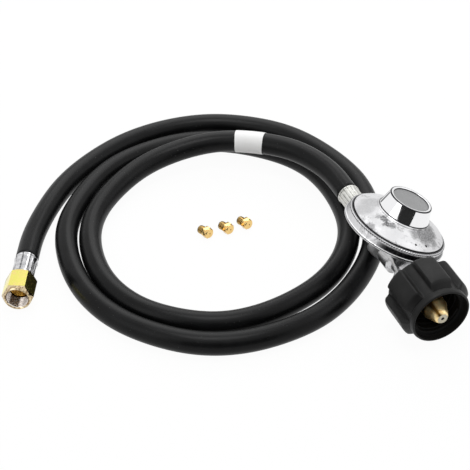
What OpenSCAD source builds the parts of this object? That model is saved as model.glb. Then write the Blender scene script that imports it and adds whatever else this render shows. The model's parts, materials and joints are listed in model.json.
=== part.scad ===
// Low pressure gas regulator with its supply hose.
// The regulator lies on the lobes of its coupling nut, and the hose lies beside
// it in two loose loops. Millimetres, +Z up, z = 0 is the surface underneath.

/* [Hose] */
// Outside diameter of the hose
hose_od = 16; // [14:0.5:17]
// Bore of the hose
hose_id = 8; // [6:0.5:9]
// Sides of the hose's outline
hose_sides = 12; // [8:1:12]
// Length of hose held inside each ferrule
crimp_len = 16; // [14:1:24]
// Thickness of the paper label wrapped round the hose
label_wall = 0.3; // [0.2:0.1:0.8]

/* [Coupling nut] */
// Diameter over the grip lobes
lobe_d = 50; // [46:1:54]
// Diameter of the round shell under the lobes
shell_d = 42; // [40:0.5:44]
// Number of grip lobes
lobe_count = 6; // [4:1:8]
// Angle that one lobe covers at its crest
lobe_angle = 36; // [20:2:40]
// Overall length of the nut
nut_len = 36; // [32:1:42]
// Bore of the coupling thread
nut_bore_d = 33.3; // [32:0.1:35]
// Length of the plain lead-in at the mouth
lead_in_len = 5; // [2:1:8]
// Wall of the nut round that lead-in
lead_in_wall = 1.6; // [1.2:0.1:3]
// Thickness of the nut's end wall
nut_wall = 7; // [5:1:9]

/* [Inlet nipple] */
// Diameter of the nose that enters the cylinder valve
nose_d = 17; // [14:0.5:18]
// Diameter of the nose's flat tip
tip_d = 8.6; // [6:0.2:9]
// Length of the conical end of the nose
nose_cone_len = 11; // [8:1:14]
// Distance that the tip stands proud of the nut's mouth
tip_proud = 1.5; // [0:0.5:4]
// Diameter of the flange that holds the nut on
keeper_d = 27; // [24:0.5:30]
// Diameter of the neck that the nut turns on
neck_d = 18; // [16:0.5:20]
// Diameter of the thread in the regulator body
shank_d = 13.6; // [12:0.2:14]
// Gas bore of the nipple
nipple_bore_d = 6; // [4:0.5:7]

/* [Regulator] */
// Lean of the regulator away from upright
lean = 25; // [0:1:30]
// Outside diameter of the lower pan
pan_d = 73; // [70:1:78]
// Step in from the pan's wall to the crimped rim
rim_step = 0.8; // [0.4:0.1:2]
// Width of the rolled rim outside the dome
rim_ledge = 2.5; // [2:0.1:4]
// Height of the pan's outer wall
pan_wall_h = 5; // [4:0.5:8]
// Height of the rim above the inlet line
rim_z = 17; // [16:0.5:20]
// Height of the dome above the rim
dome_h = 9.4; // [8:0.2:12]
// Diameter of the spring tower at its foot
tower_foot_d = 37; // [34:0.5:40]
// Diameter of the spring tower at its top
tower_top_d = 31; // [29:0.5:33]
// Height of the spring tower
tower_h = 12.2; // [10:0.2:16]
// Wall of the bonnet
bonnet_wall = 2.2; // [1.6:0.2:3]
// Distance from the tower to the inlet boss's face
inlet_boss_len = 41; // [40:1:46]
// Distance from the tower to the outlet boss's face
outlet_boss_len = 38; // [37:1:44]
// Diameter of the inlet boss
inlet_boss_d = 26; // [22:1:28]
// Diameter of the outlet boss
outlet_boss_d = 17; // [16:0.5:18]
// Diameter of the inlet arm between the valve and its boss
inlet_arm_d = 15.6; // [15:0.2:20]
// Thickness of the gusset between the pan and the inlet boss
web_t = 2.4; // [2:0.2:5]
// Width of the lip that is rolled in over the tower's cap
cap_lip = 1.1; // [0.6:0.1:2]

/* [Regulating mechanism] */
// Thickness of the diaphragm
diaphragm_t = 1; // [0.8:0.1:1.4]
// Diameter of the diaphragm's backing plate
plate_d = 40; // [34:1:44]
// Wire of the main spring
spring_wire = 1.8; // [1.2:0.1:2.2]
// Mean diameter of the main spring
spring_d = 20; // [18:0.5:22]
// Turns of the main spring
spring_turns = 5; // [4:1:7]
// Diameter of the adjusting screw in the tower
screw_d = 24.6; // [24:0.1:25.6]
// Diameter of the lever's pin
pin_d = 2; // [1.6:0.1:2.4]
// Distance from the lever's pin to the diaphragm stem
lever_arm = 14; // [13:0.5:16]
// Distance from the lever's pin down to the valve's line
lever_drop = 6.5; // [6:0.1:7]
// Diameter of the sliding valve holder
holder_d = 8.8; // [8:0.1:9.4]
// Gap between the valve's disc and its seat at rest
valve_gap = 0.4; // [0.3:0.05:0.8]

/* [Ferrules and flare fitting] */
// Outside diameter of both ferrules
ferrule_od = 15.6; // [15:0.1:18]
// Wall of a ferrule
ferrule_wall = 1.2; // [0.8:0.1:1.6]
// Width across the flats of the flare nut
flare_af = 19; // [18:0.5:22]
// Length of the flare nut
flare_nut_len = 21; // [18:1:26]
// Bore of the flare nut's thread
flare_bore_d = 14.6; // [14:0.1:15.4]
// Depth of the flare nut's thread, down to the stem's seat
flare_thread_len = 11; // [9:1:12]
// Length of the plain relief behind that thread
flare_relief = 3; // [2:0.5:4]
// Diameter of the stem's neck inside the flare nut
flare_neck_d = 10; // [9:0.5:11]
// Length of bare neck between the nut and its ferrule
flare_neck_gap = 1; // [0.5:0.5:3]

/* [Orifice jets] */
// Width across the flats of a jet's head
jet_af = 7.5; // [6:0.5:9]
// Length of a jet's head
jet_head_len = 3.4; // [2:0.2:5]
// Diameter of a jet's thread
jet_thread_d = 5.8; // [3.6:0.2:6.4]
// Length of a jet's thread
jet_thread_len = 5.5; // [3:0.5:7]
// Length of the thin relief between a jet's thread and its head
jet_relief = 1; // [0.4:0.2:1.6]
// Diameter of the hole through a jet
jet_hole_d = 1; // [0.6:0.1:1.4]

/* [Fits] */
// Clearance round parts that turn or slide
running = 0.06; // [0.04:0.01:0.1]
// Clearance between parts that are joined
joined = 0.04; // [0.02:0.01:0.08]
// Gap left between parts that pass each other
gap = 0.4; // [0.3:0.1:0.8]

/* [Hidden] */
$fn = 96;
spring_fn = 6;

// Where the regulator's tower axis meets the line through its inlet and outlet
reg_place = [33, -5.5, lobe_d / 2];

// Distances along the inlet line, measured from the tower
nut_back = inlet_boss_len + 1.5;
nut_mouth = nut_back + nut_len;
nut_floor = nut_back + nut_wall;
keeper_back = nut_floor + gap + 2.4;
keeper_t = 3;
tip_end = nut_mouth + tip_proud;
cone_start = tip_end - nose_cone_len;
shank_start = inlet_boss_len - 11;
insert_len = 5;
poppet_len = 6;
poppet_d = nipple_bore_d - 2 * running;
poppet_start = tip_end - insert_len - poppet_len - 1.6;
spring_bore_d = nipple_bore_d - 1.6;
spring_step = poppet_start - 5;

// Diameters of the crimped rim, and of the bonnet where its dome meets it
rim_d = pan_d - 2 * rim_step;
dome_d = rim_d - 2 * rim_ledge;

// Heights above the inlet line
pan_z = rim_z - pan_wall_h;
diaphragm_z = rim_z - 3.5;
plate_z = diaphragm_z + diaphragm_t;
plate_t = 1.2;
tower_z = rim_z + dome_h;
tower_top = tower_z + tower_h;
cap_recess = 2.2;
cap_t = 1.1;
cap_z = tower_top - cap_recess;
spring_top = tower_z + 1.2;
screw_t = 5.5;
screw_bore_d = screw_d + 2 * running;
crimp_lip = 1.4;

// Regulating mechanism
cavity_floor = 6;
cavity_d = dome_d - 8;
well_d = 40;
web_top = 5;
pin_z = -lever_drop;
pin_y = -lever_arm;
fork_z = 8.5;
lever_t = 1.8;
lever_w = 3;
fork_w = 8;
lever_slot = lever_w + 1.6;
lever_room = 3;
pin_len = 15;
lever_rise = fork_z + lever_drop + lever_t / 2;
stem_d = 3.2;
button_d = 6;
button_top = fork_z - lever_t / 2 - 0.8;
collar_z = fork_z + lever_t / 2 + 1.8;
relief_top = plate_z + plate_t + 7.4;
valve_face = lever_arm + 6.6;
seat_tip = valve_face + valve_gap;
disc_t = 2;
disc_d = 7;
nozzle_d = 5;
orifice_d = 2;
seat_d = 10;
seat_flange = seat_tip + 3;
holder_len = 10.4;
notch_w = 4;
vent_d = 1.6;

// Hose ends
hose_end_s = outlet_boss_len + 4;
ferrule_mouth_s = hose_end_s + crimp_len + 2;
ferrule_back_s = hose_end_s - 2;
crimped_od = ferrule_od - 2 * ferrule_wall - 0.2;
barb_d = hose_id * cos(180 / hose_sides) - 0.1;
flare_place = [-197, 91, 9.5];
flare_turn = -25;
flare_rise = 3;

// Route of the hose, from the flare fitting's ferrule to the regulator's
route = [[-162, 147, 8], [-132, 174, 8], [-91, 194, 8], [-50, 199, 8], [-11, 190, 8], [25, 164, 8],
    [45, 130, 8], [55, 86, 8], [48, 46, 8], [31, 10, 8], [-2, -21, 8], [-39, -38, 8], [-84, -40, 8],
    [-121, -26, 8], [-153, 5, 8], [-169, 42, 8], [-170, 83, 8], [-157, 122, 8], [-125, 157, 8],
    [-91, 175, 8], [-47, 178, 8], [-10, 163, 8], [22, 131, 8], [34, 94, 8], [29, 48, 8], [10, 14, 8],
    [-22, -10, 8], [-66, -21, 8], [-104, -14, 8], [-138, 14, 8], [-153, 52, 8], [-149, 96, 8],
    [-129, 130, 9], [-91, 155, 12.5], [-52, 160, 17], [-17, 149, 21.5], [19, 117, 24.5]];
steps_per_span = 2;
span = 42;
lead = 18;
label_ring = 72;

// ---- Helpers ----

module at_regulator() translate(reg_place) rotate([0, lean, 0]) children();

// Local Z runs outwards along the inlet, or along the outlet
module along_inlet() rotate([90, 0, 0]) children();
module along_outlet() rotate([-90, 0, 0]) children();

module ring(d_out, d_in, from, to)
    translate([0, 0, from]) difference() {
        cylinder(d = d_out, h = to - from);
        translate([0, 0, -1]) cylinder(d = d_in, h = to - from + 2);
    }

// A point between b and c on the smooth curve through a, b, c and d
function blend_at(a, b, c, d, t) =
    (2 * b + (c - a) * t + (2 * a - 5 * b + 4 * c - d) * t * t + (3 * b - a - 3 * c + d) * t * t * t) / 2;

// Points on that curve, for p with one guide point beyond each of its ends
function curve_through(p, steps) = let (n = len(p)) [
    for (i = [1 : n - 3]) for (k = [0 : steps - 1]) blend_at(p[i - 1], p[i], p[i + 1], p[i + 2], k / steps),
    p[n - 2]];

function unit(v) = v / norm(v);
function heading(p, i) = unit(p[min(i + 1, len(p) - 1)] - p[max(i - 1, 0)]);

// One ring of points square to the route at its point i
function ring_at(p, i, r, sides) = let (
        t = heading(p, i), across = unit(cross(t, [0, 0, 1])), up = cross(across, t))
    [for (k = [0 : sides - 1]) let (a = (k + 0.5) * 360 / sides)
        p[i] + r * (cos(a) * across + sin(a) * up)];

// Triangles between two rings of points that start at index a and at index b
function band(a, b, sides) = [for (k = [0 : sides - 1]) let (n = (k + 1) % sides)
    each [[a + k, b + k, b + n], [a + k, b + n, a + n]]];

// A hollow tube along points p, with an outer and an inner radius at each point
module tube(p, r_out, r_in, sides) {
    n = len(p);
    inner = n * sides;
    points = [for (i = [0 : n - 1]) each ring_at(p, i, r_out[i], sides),
        for (i = [0 : n - 1]) each ring_at(p, i, r_in[i], sides)];
    outer_faces = [for (i = [0 : n - 2]) each band(i * sides, (i + 1) * sides, sides)];
    inner_faces = [for (i = [0 : n - 2]) each band(inner + (i + 1) * sides, inner + i * sides, sides)];
    start_faces = band(inner, 0, sides);
    end_faces = band((n - 1) * sides, inner + (n - 1) * sides, sides);
    polyhedron(points, concat(outer_faces, inner_faces, start_faces, end_faces));
}

// A spring of round wire that stands on z = 0, outer ends included
module coil(mean_d, wire, height, turns) {
    steps = turns * 14;
    rise = height - wire;
    points = [for (i = [0 : steps]) let (a = i * 360 / 14)
        for (k = [0 : spring_fn - 1]) let (b = k * 360 / spring_fn)
            [(mean_d / 2 + wire / 2 * cos(b)) * cos(a), (mean_d / 2 + wire / 2 * cos(b)) * sin(a),
                wire / 2 + rise * i / steps + wire / 2 * sin(b)]];
    sides = [for (i = [0 : steps - 1]) each band((i + 1) * spring_fn, i * spring_fn, spring_fn)];
    first = [for (k = [1 : spring_fn - 2]) [0, k + 1, k]];
    last = [for (k = [1 : spring_fn - 2])
        [steps * spring_fn, steps * spring_fn + k, steps * spring_fn + k + 1]];
    polyhedron(points, concat(sides, first, last));
}

// ---- Coupling nut and inlet ----

// Side profile of the lobes: sloped at both ends
module lobe_envelope() rotate_extrude() polygon([[0, nut_back], [shell_d / 2 - 1, nut_back],
    [lobe_d / 2, nut_back + 4], [lobe_d / 2, nut_mouth - 9],
    [shell_d / 2, nut_mouth - 5], [0, nut_mouth - 5]]);

module lobe_outline() {
    half = lobe_angle / 2;
    flank = half + 4;
    for (k = [0 : lobe_count - 1]) rotate(50 + k * 360 / lobe_count) intersection() {
        circle(d = lobe_d);
        polygon([[0, 0], [shell_d / 2 * cos(flank) , -shell_d / 2 * sin(flank)],
            [lobe_d * cos(half), -lobe_d * sin(half)], [lobe_d * cos(half), lobe_d * sin(half)],
            [shell_d / 2 * cos(flank), shell_d / 2 * sin(flank)]]);
    }
}

module coupling_nut() color([0.09, 0.09, 0.09]) at_regulator() along_inlet() difference() {
    union() {
        intersection() {
            translate([0, 0, nut_back]) linear_extrude(nut_len - 5) lobe_outline();
            lobe_envelope();
        }
        rotate_extrude() polygon([[0, nut_back], [shell_d / 2 - 3, nut_back],
            [shell_d / 2 - 0.4, nut_back + 3], [shell_d / 2 - 0.4, nut_mouth - 7],
            [shell_d / 2, nut_mouth - 5.6], [shell_d / 2, nut_mouth - 0.8],
            [shell_d / 2 - 0.8, nut_mouth], [0, nut_mouth]]);
    }
    translate([0, 0, nut_floor]) cylinder(d = nut_bore_d, h = nut_len);
    translate([0, 0, nut_mouth - lead_in_len]) cylinder(d = shell_d - 2 * lead_in_wall, h = nut_len);
    translate([0, 0, nut_back - 1]) cylinder(d = neck_d + 2 * running, h = nut_wall + 2);
}

module inlet_nipple() color([0.8, 0.62, 0.3]) at_regulator() along_inlet() difference() {
    rotate_extrude() polygon([[0, shank_start], [shank_d / 2 - 0.8, shank_start],
        [shank_d / 2, shank_start + 0.8], [shank_d / 2, inlet_boss_len], [neck_d / 2, inlet_boss_len],
        [neck_d / 2, keeper_back], [keeper_d / 2, keeper_back], [keeper_d / 2, keeper_back + keeper_t],
        [nose_d / 2, keeper_back + keeper_t], [nose_d / 2, cone_start],
        [nose_d / 2 - 1.2, cone_start + 3.4], [tip_d / 2 + 0.8, tip_end - 1.6],
        [tip_d / 2, tip_end - 0.6], [tip_d / 2, tip_end], [0, tip_end]]);
    translate([0, 0, shank_start - 1]) cylinder(d = spring_bore_d, h = tip_end);
    translate([0, 0, spring_step]) cylinder(d = nipple_bore_d, h = tip_end);
}

// The ring between the nut's end wall and the nipple's flange that softens in a fire
module thermal_bushing() color([0.16, 0.16, 0.17]) at_regulator() along_inlet()
    ring(keeper_d - 1, neck_d + 2 * joined, nut_floor + gap, keeper_back);

module nose_insert() color([0.86, 0.8, 0.66]) at_regulator() along_inlet()
    ring(nipple_bore_d - 2 * joined, 1.8, tip_end - insert_len, tip_end - 0.2);

// The plunger that shuts off a sudden rush of gas
module excess_flow_poppet() color([0.75, 0.6, 0.3]) at_regulator() along_inlet()
    rotate_extrude() polygon([[0, poppet_start], [1, poppet_start], [1.2, poppet_start + 0.4],
        [1.2, poppet_start + 2.4], [poppet_d / 2 - 0.8, poppet_start + 2.4],
        [poppet_d / 2, poppet_start + 3.2], [poppet_d / 2, poppet_start + poppet_len],
        [0, poppet_start + poppet_len]]);

module excess_flow_spring() color([0.7, 0.7, 0.72]) at_regulator() along_inlet()
    translate([0, 0, spring_step + 0.05]) coil(nipple_bore_d - 1.4, 0.7, 7.3, 5);

// ---- Regulator body ----

module pan_outline() {
    r_pan = pan_d / 2;
    polygon([[0, -outlet_boss_d / 2], [r_pan - 27.5, -outlet_boss_d / 2], [r_pan - 25.5, -7.5],
        [r_pan - 23.5, -1], [r_pan - 21.5, cavity_floor - 3.8], [r_pan - 15.5, cavity_floor - 2],
        [r_pan - 12.5, pan_z - 6.6], [r_pan - 5.5, pan_z - 3.4], [r_pan - 2.1, pan_z - 2],
        [r_pan - 0.4, pan_z - 1.4], [r_pan + 0.5, pan_z - 0.8],
        [r_pan + 0.5, pan_z + 0.6], [r_pan, pan_z + 1], [rim_d / 2 - 0.1, rim_z - 0.6],
        [rim_d / 2 - 0.5, rim_z], [0, rim_z]]);
}

// Half section of the inlet arm: round the valve, narrower past it, and wide at the nut
module inlet_arm() polygon([[0, 4], [inlet_boss_d / 2 - 2.5, 4], [inlet_boss_d / 2 - 2.5, valve_face - 1.6],
    [inlet_arm_d / 2, valve_face + 1.4], [inlet_arm_d / 2, inlet_boss_len - 13],
    [inlet_boss_d / 2, inlet_boss_len - 7], [inlet_boss_d / 2, inlet_boss_len], [0, inlet_boss_len]]);

// Flat gusset that joins the pan to the inlet boss, wide at the nut
module inlet_web() {
    w = inlet_boss_d / 2;
    end = -inlet_boss_len;
    translate([0, 0, web_top - web_t]) linear_extrude(web_t)
        polygon([[-w, end + 25], [-w + 1.4, end + 17], [-w - 0.8, end + 9], [-w - 3, end],
            [w + 3, end], [w + 0.8, end + 9], [w - 1.4, end + 17], [w, end + 25]]);
}

// Shallow pockets in the top of the gusset
module web_pockets() for (side = [-1, 1])
    translate([0, 0, web_top - web_t / 2]) linear_extrude(4)
        polygon([[side * 7, 16 - inlet_boss_len], [side * 9.6, 16 - inlet_boss_len],
            [side * 12, 8 - inlet_boss_len], [side * 10, 9 - inlet_boss_len]]);

module gas_passages() {
    // Room under the diaphragm, and the seat that clamps its edge
    translate([0, 0, cavity_floor]) rotate_extrude() polygon([[0, 0], [well_d / 2, 0],
        [cavity_d / 2, pan_z - 2 - cavity_floor], [cavity_d / 2, rim_z], [0, rim_z]]);
    translate([0, 0, diaphragm_z]) cylinder(d = rim_d - 2.6, h = rim_z);
    // Room for the lever's fork as it falls
    translate([-fork_w / 2 - 1, -8, cavity_floor - 3]) cube([fork_w + 2, 15.5, cavity_floor]);
    // Well below the stem, and the way out to the hose
    translate([0, 0, -2]) cylinder(d = button_d + 2, h = cavity_floor + 3);
    along_outlet() cylinder(d = 6, h = outlet_boss_len + 1);
    along_outlet() translate([0, 0, outlet_boss_len - 12]) cylinder(d = shank_d - 1 + 2 * joined, h = 13);
    // Inlet thread, seat and guide of the valve holder
    along_inlet() translate([0, 0, shank_start - 1]) cylinder(d = shank_d + 2 * joined, h = inlet_boss_len);
    along_inlet() translate([0, 0, seat_flange - 0.01])
        cylinder(d = seat_d + 2 * joined, h = shank_start - seat_flange);
    along_inlet() translate([0, 0, valve_face - holder_len - 3])
        cylinder(d = holder_d + 2 * running, h = seat_flange - valve_face + holder_len + 3.1);
    // Slot that the lever stands in, and the bore for its pin
    translate([-lever_slot / 2, -valve_face - 1, 0]) cube([lever_slot, holder_len + 2, cavity_floor + 1]);
    translate([-lever_slot / 2, pin_y - lever_room, pin_z - 2.7])
        cube([lever_slot, 2 * lever_room + 1, lever_drop + 4]);
    translate([-pin_len / 2, pin_y, pin_z]) rotate([0, 90, 0])
        cylinder(d = pin_d + 2 * joined, h = inlet_boss_d, $fn = 48);
}

module regulator_body() color([0.75, 0.76, 0.78]) at_regulator() {
    difference() {
        union() {
            rotate_extrude() pan_outline();
            along_inlet() rotate_extrude() inlet_arm();
            along_outlet() translate([0, 0, 4]) cylinder(d = outlet_boss_d, h = outlet_boss_len - 4);
            inlet_web();
        }
        gas_passages();
        web_pockets();
    }
}

// ---- Bonnet and tower ----

module bonnet_outline() {
    r_dome = dome_d / 2;
    r_foot = tower_foot_d / 2;
    polygon([[0, plate_z], [rim_d / 2 - 1.4, plate_z], [rim_d / 2 - 1.4, rim_z],
        [r_dome + 0.2, rim_z], [r_dome + 0.2, rim_z + 2.1], [r_dome - 0.2, rim_z + 2.6],
        [r_dome - 1.6, rim_z + 3.3], [r_dome - 4, rim_z + 4.6], [r_dome - 8, rim_z + 6.5],
        [r_foot + 2.5, tower_z - 0.7], [r_foot + 0.9, tower_z - 0.1], [r_foot + 0.9, tower_z + 0.7],
        [r_foot + 0.2, tower_z + 1], [r_foot - 0.2, tower_z + 1.6], [tower_top_d / 2, tower_top - 0.5],
        [tower_top_d / 2 - 0.4, tower_top], [0, tower_top]]);
}

module bonnet_room() {
    r_in = dome_d / 2 - bonnet_wall;
    polygon([[0, plate_z - 1], [r_in - 1, plate_z - 1], [r_in - 1, plate_z + 2], [r_in, rim_z],
        [r_in, rim_z + 0.8], [r_in - 2.8, rim_z + 2.8], [r_in - 7, rim_z + 4.6],
        [tower_foot_d / 2, tower_z - 0.6 - bonnet_wall], [screw_bore_d / 2, tower_z - bonnet_wall],
        [screw_bore_d / 2, cap_z + 1], [0, cap_z + 1]]);
}

module bonnet() color([0.8, 0.81, 0.83]) at_regulator() difference() {
    rotate_extrude() bonnet_outline();
    rotate_extrude() bonnet_room();
    translate([0, 0, cap_z]) cylinder(d = tower_top_d - 2.6, h = cap_t + 0.15);
    translate([0, 0, cap_z]) cylinder(d = tower_top_d - 2.6 - 2 * cap_lip, h = cap_recess + 1);
    // Breather holes
    for (x = [-4, 5]) translate([x, 4 - dome_d / 2, rim_z + 0.2]) cylinder(d = vent_d, h = 12, $fn = 24);
}

// The rolled lip that clamps the bonnet to the body
module crimp_ring() color([0.6, 0.61, 0.63]) at_regulator() rotate_extrude()
    polygon([[dome_d / 2 + 0.5, rim_z + 0.02], [rim_d / 2, rim_z + 0.02], [rim_d / 2, rim_z + 0.5],
        [rim_d / 2 - 0.6, rim_z + 1], [dome_d / 2 + 0.9, rim_z + crimp_lip], [dome_d / 2 + 0.5, rim_z + 1.1]]);

module tower_cap() color([0.56, 0.57, 0.58]) at_regulator()
    translate([0, 0, cap_z + 0.02]) cylinder(d = tower_top_d - 2.6 - 2 * joined, h = cap_t);

module adjusting_screw() color([0.3, 0.3, 0.32]) at_regulator() difference() {
    translate([0, 0, spring_top]) cylinder(d = screw_d, h = screw_t);
    translate([0, 0, spring_top + 2.2]) cylinder(d = 9.2, h = screw_t, $fn = 6);
}

// ---- Diaphragm, springs and valve ----

module main_spring() color([0.7, 0.7, 0.72]) at_regulator()
    translate([0, 0, plate_z + plate_t + 0.05])
        coil(spring_d, spring_wire, spring_top - plate_z - plate_t - 0.1, spring_turns);

module diaphragm() color([0.2, 0.2, 0.2]) at_regulator() rotate_extrude() {
    r_edge = rim_d / 2 - 1.5;
    r_fold = plate_d / 2 + 3.4;
    difference() {
        union() {
            translate([stem_d / 2 + 0.3, diaphragm_z]) square([r_edge - stem_d / 2 - 0.3, diaphragm_t - 0.05]);
            translate([r_fold, diaphragm_z]) circle(r = 2.6, $fn = 32);
        }
        translate([r_fold, diaphragm_z]) circle(r = 1.6, $fn = 32);
        translate([r_fold - 4, diaphragm_z - 4]) square([8, 4]);
    }
}

module diaphragm_plate() color([0.72, 0.73, 0.75]) at_regulator()
    translate([0, 0, plate_z]) rotate_extrude() polygon([[stem_d / 2 + running, 0], [plate_d / 2, 0],
        [plate_d / 2, plate_t + 1.2], [plate_d / 2 - 1.2, plate_t + 1.2], [plate_d / 2 - 1.2, plate_t],
        [stem_d / 2 + running, plate_t]]);

// Stem that hangs from the diaphragm, with its relief seat and the groove for the lever
module relief_stem() color([0.78, 0.62, 0.32]) at_regulator() rotate_extrude()
    polygon([[0, button_top - 1.4], [button_d / 2 - 0.5, button_top - 1.4], [button_d / 2, button_top - 0.9],
        [button_d / 2, button_top], [stem_d / 2, button_top], [stem_d / 2, collar_z],
        [button_d / 2, collar_z], [button_d / 2 + 2, diaphragm_z - 1.1],
        [button_d / 2 + 2, diaphragm_z - 0.02], [stem_d / 2, diaphragm_z - 0.02],
        [stem_d / 2, relief_top + 1.6], [0, relief_top + 1.6]]);

module relief_spring() color([0.7, 0.7, 0.72]) at_regulator()
    translate([0, 0, plate_z + plate_t + 0.05])
        coil(stem_d + 2.4, 0.8, relief_top - plate_z - plate_t - 0.1, 5);

module relief_nut() color([0.72, 0.73, 0.75]) at_regulator() difference() {
    translate([0, 0, relief_top]) cylinder(d = stem_d + 4.4, h = 1.5, $fn = 6);
    translate([0, 0, relief_top - 1]) cylinder(d = stem_d + 2 * joined, h = 4);
}

// Stands on its pin, through the valve holder, and reaches over to the stem
module lever() color([0.66, 0.67, 0.69]) at_regulator() difference() {
    union() {
        translate([-lever_w / 2, pin_y, pin_z]) rotate([0, 90, 0]) linear_extrude(lever_w) {
            circle(d = pin_d + 2, $fn = 48);
            translate([-lever_rise, -0.8]) square([lever_rise, 1.6]);
            translate([-lever_drop, 0]) circle(d = notch_w - 0.6, $fn = 48);
        }
        translate([-lever_w / 2, pin_y - 0.8, fork_z - lever_t / 2]) cube([lever_w, lever_arm - 5, lever_t]);
        translate([-fork_w / 2, -9, fork_z - lever_t / 2]) cube([fork_w, 12, lever_t]);
    }
    translate([-stem_d / 2 - gap, -5.8, fork_z - 3]) cube([stem_d + 2 * gap, 12, 6]);
    translate([-3, pin_y, pin_z]) rotate([0, 90, 0]) cylinder(d = pin_d + 2 * running, h = 6, $fn = 48);
}

module lever_pin() color([0.6, 0.61, 0.63]) at_regulator()
    translate([-pin_len / 2, pin_y, pin_z]) rotate([0, 90, 0]) cylinder(d = pin_d, h = pin_len, $fn = 48);

module valve_seat() color([0.8, 0.62, 0.3]) at_regulator() along_inlet() difference() {
    union() {
        translate([0, 0, seat_tip]) cylinder(d1 = nozzle_d - 1.4, d2 = nozzle_d, h = 1.2);
        translate([0, 0, seat_tip + 1.2]) cylinder(d = nozzle_d, h = 2);
        translate([0, 0, seat_flange + 0.02]) cylinder(d = seat_d, h = shank_start - seat_flange - 0.04);
    }
    translate([0, 0, seat_tip - 1]) cylinder(d = orifice_d, h = 12, $fn = 48);
    translate([0, 0, seat_flange + 1]) cylinder(d = spring_bore_d, h = 12, $fn = 48);
}

module valve_holder() color([0.8, 0.66, 0.36]) at_regulator() along_inlet() difference() {
    translate([0, 0, valve_face - holder_len]) cylinder(d = holder_d, h = holder_len - 0.5);
    translate([0, 0, valve_face - disc_t]) cylinder(d = disc_d + 2 * joined, h = 4);
    // Slot for the lever
    translate([-lever_w / 2 - 0.4, -holder_d, lever_arm - notch_w / 2])
        cube([lever_w + 0.8, 2 * holder_d, notch_w]);
}

module valve_disc() color([0.12, 0.12, 0.12]) at_regulator() along_inlet()
    translate([0, 0, valve_face - disc_t + 0.02]) cylinder(d = disc_d, h = disc_t - 0.02);

// ---- Outlet, hose and fittings ----

// A ferrule from z = 0, its closed back, to its open mouth
module ferrule(depth) difference() {
    union() {
        cylinder(d = ferrule_od, h = depth);
        translate([0, 0, depth - 1.6]) cylinder(d = ferrule_od + 0.8, h = 1.6);
    }
    translate([0, 0, 1.6]) cylinder(d = crimped_od + 0.1, h = depth);
    translate([0, 0, -1]) cylinder(d = barb_d + 0.4, h = 4);
}

// Ridged tail that enters the hose, from z = 0
module barb(length) {
    ridges = 4;
    pitch = length / ridges;
    for (k = [0 : ridges - 1])
        translate([0, 0, k * pitch]) cylinder(d1 = barb_d, d2 = barb_d - 1, h = pitch);
}

module outlet_nipple() color([0.8, 0.62, 0.3]) at_regulator() along_outlet() difference() {
    union() {
        translate([0, 0, outlet_boss_len - 11]) cylinder(d = shank_d - 1, h = 11);
        translate([0, 0, outlet_boss_len])
            cylinder(d = ferrule_od - 1, h = ferrule_back_s - outlet_boss_len - 0.02);
        translate([0, 0, outlet_boss_len + 1]) cylinder(d = barb_d, h = hose_end_s - outlet_boss_len - 1);
        translate([0, 0, hose_end_s]) barb(crimp_len - 2);
    }
    translate([0, 0, outlet_boss_len - 12]) cylinder(d = 4, h = crimp_len + 20, $fn = 48);
}

module regulator_ferrule() color([0.78, 0.78, 0.76]) at_regulator() along_outlet()
    translate([0, 0, ferrule_back_s]) ferrule(ferrule_mouth_s - ferrule_back_s);

module at_flare()
    translate(flare_place) rotate([0, 0, flare_turn]) rotate([-flare_rise, 0, 0]) along_outlet() children();

flare_axis = [-sin(flare_turn) * cos(flare_rise), cos(flare_turn) * cos(flare_rise), -sin(flare_rise)];
outlet_mouth = reg_place + [0, ferrule_mouth_s, 0];
flare_lead = flare_place + flare_axis * lead;
outlet_lead = outlet_mouth + [0, lead, 0];

// Route with a guide point beyond each end, so that it leaves both ferrules straight
guided = concat([route[0] - flare_axis * 2 * span, flare_lead], route,
    [outlet_lead, route[len(route) - 1] - [0, 2 * span, 0]]);
free_run = curve_through(guided, steps_per_span);
// The whole hose: a crimped end, a straight end, the bends, a straight end and a crimped end
hose_path = concat(
    [for (d = [-crimp_len - 2, 0.05, 0.7]) flare_place + flare_axis * d],
    free_run,
    [for (d = [0.7, 0.05, -crimp_len - 2]) outlet_mouth + [0, d, 0]]);
hose_radii = [for (i = [0 : len(hose_path) - 1])
    (i < 2 || i > len(hose_path) - 3) ? crimped_od / 2 : hose_od / 2];
bore_radii = [for (i = [0 : len(hose_path) - 1]) hose_id / 2];

module hose() color([0.07, 0.07, 0.07]) tube(hose_path, hose_radii, bore_radii, hose_sides);

module hose_label() color([0.93, 0.93, 0.93]) {
    a = free_run[label_ring];
    b = free_run[label_ring + 1];
    r = hose_od / 2 + 0.05;
    tube([a + (b - a) * 0.05, b - (b - a) * 0.05], [r + label_wall, r + label_wall], [r, r], hose_sides);
}

// Distances behind the hose's mouth in the flare fitting's ferrule
flare_ferrule_len = crimp_len + 4;
flare_nut_back = flare_ferrule_len + flare_neck_gap;
flare_nut_mouth = flare_nut_back + flare_nut_len;

module flare_ferrule() color([0.8, 0.8, 0.82]) at_flare()
    translate([0, 0, -flare_ferrule_len]) ferrule(flare_ferrule_len);

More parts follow.
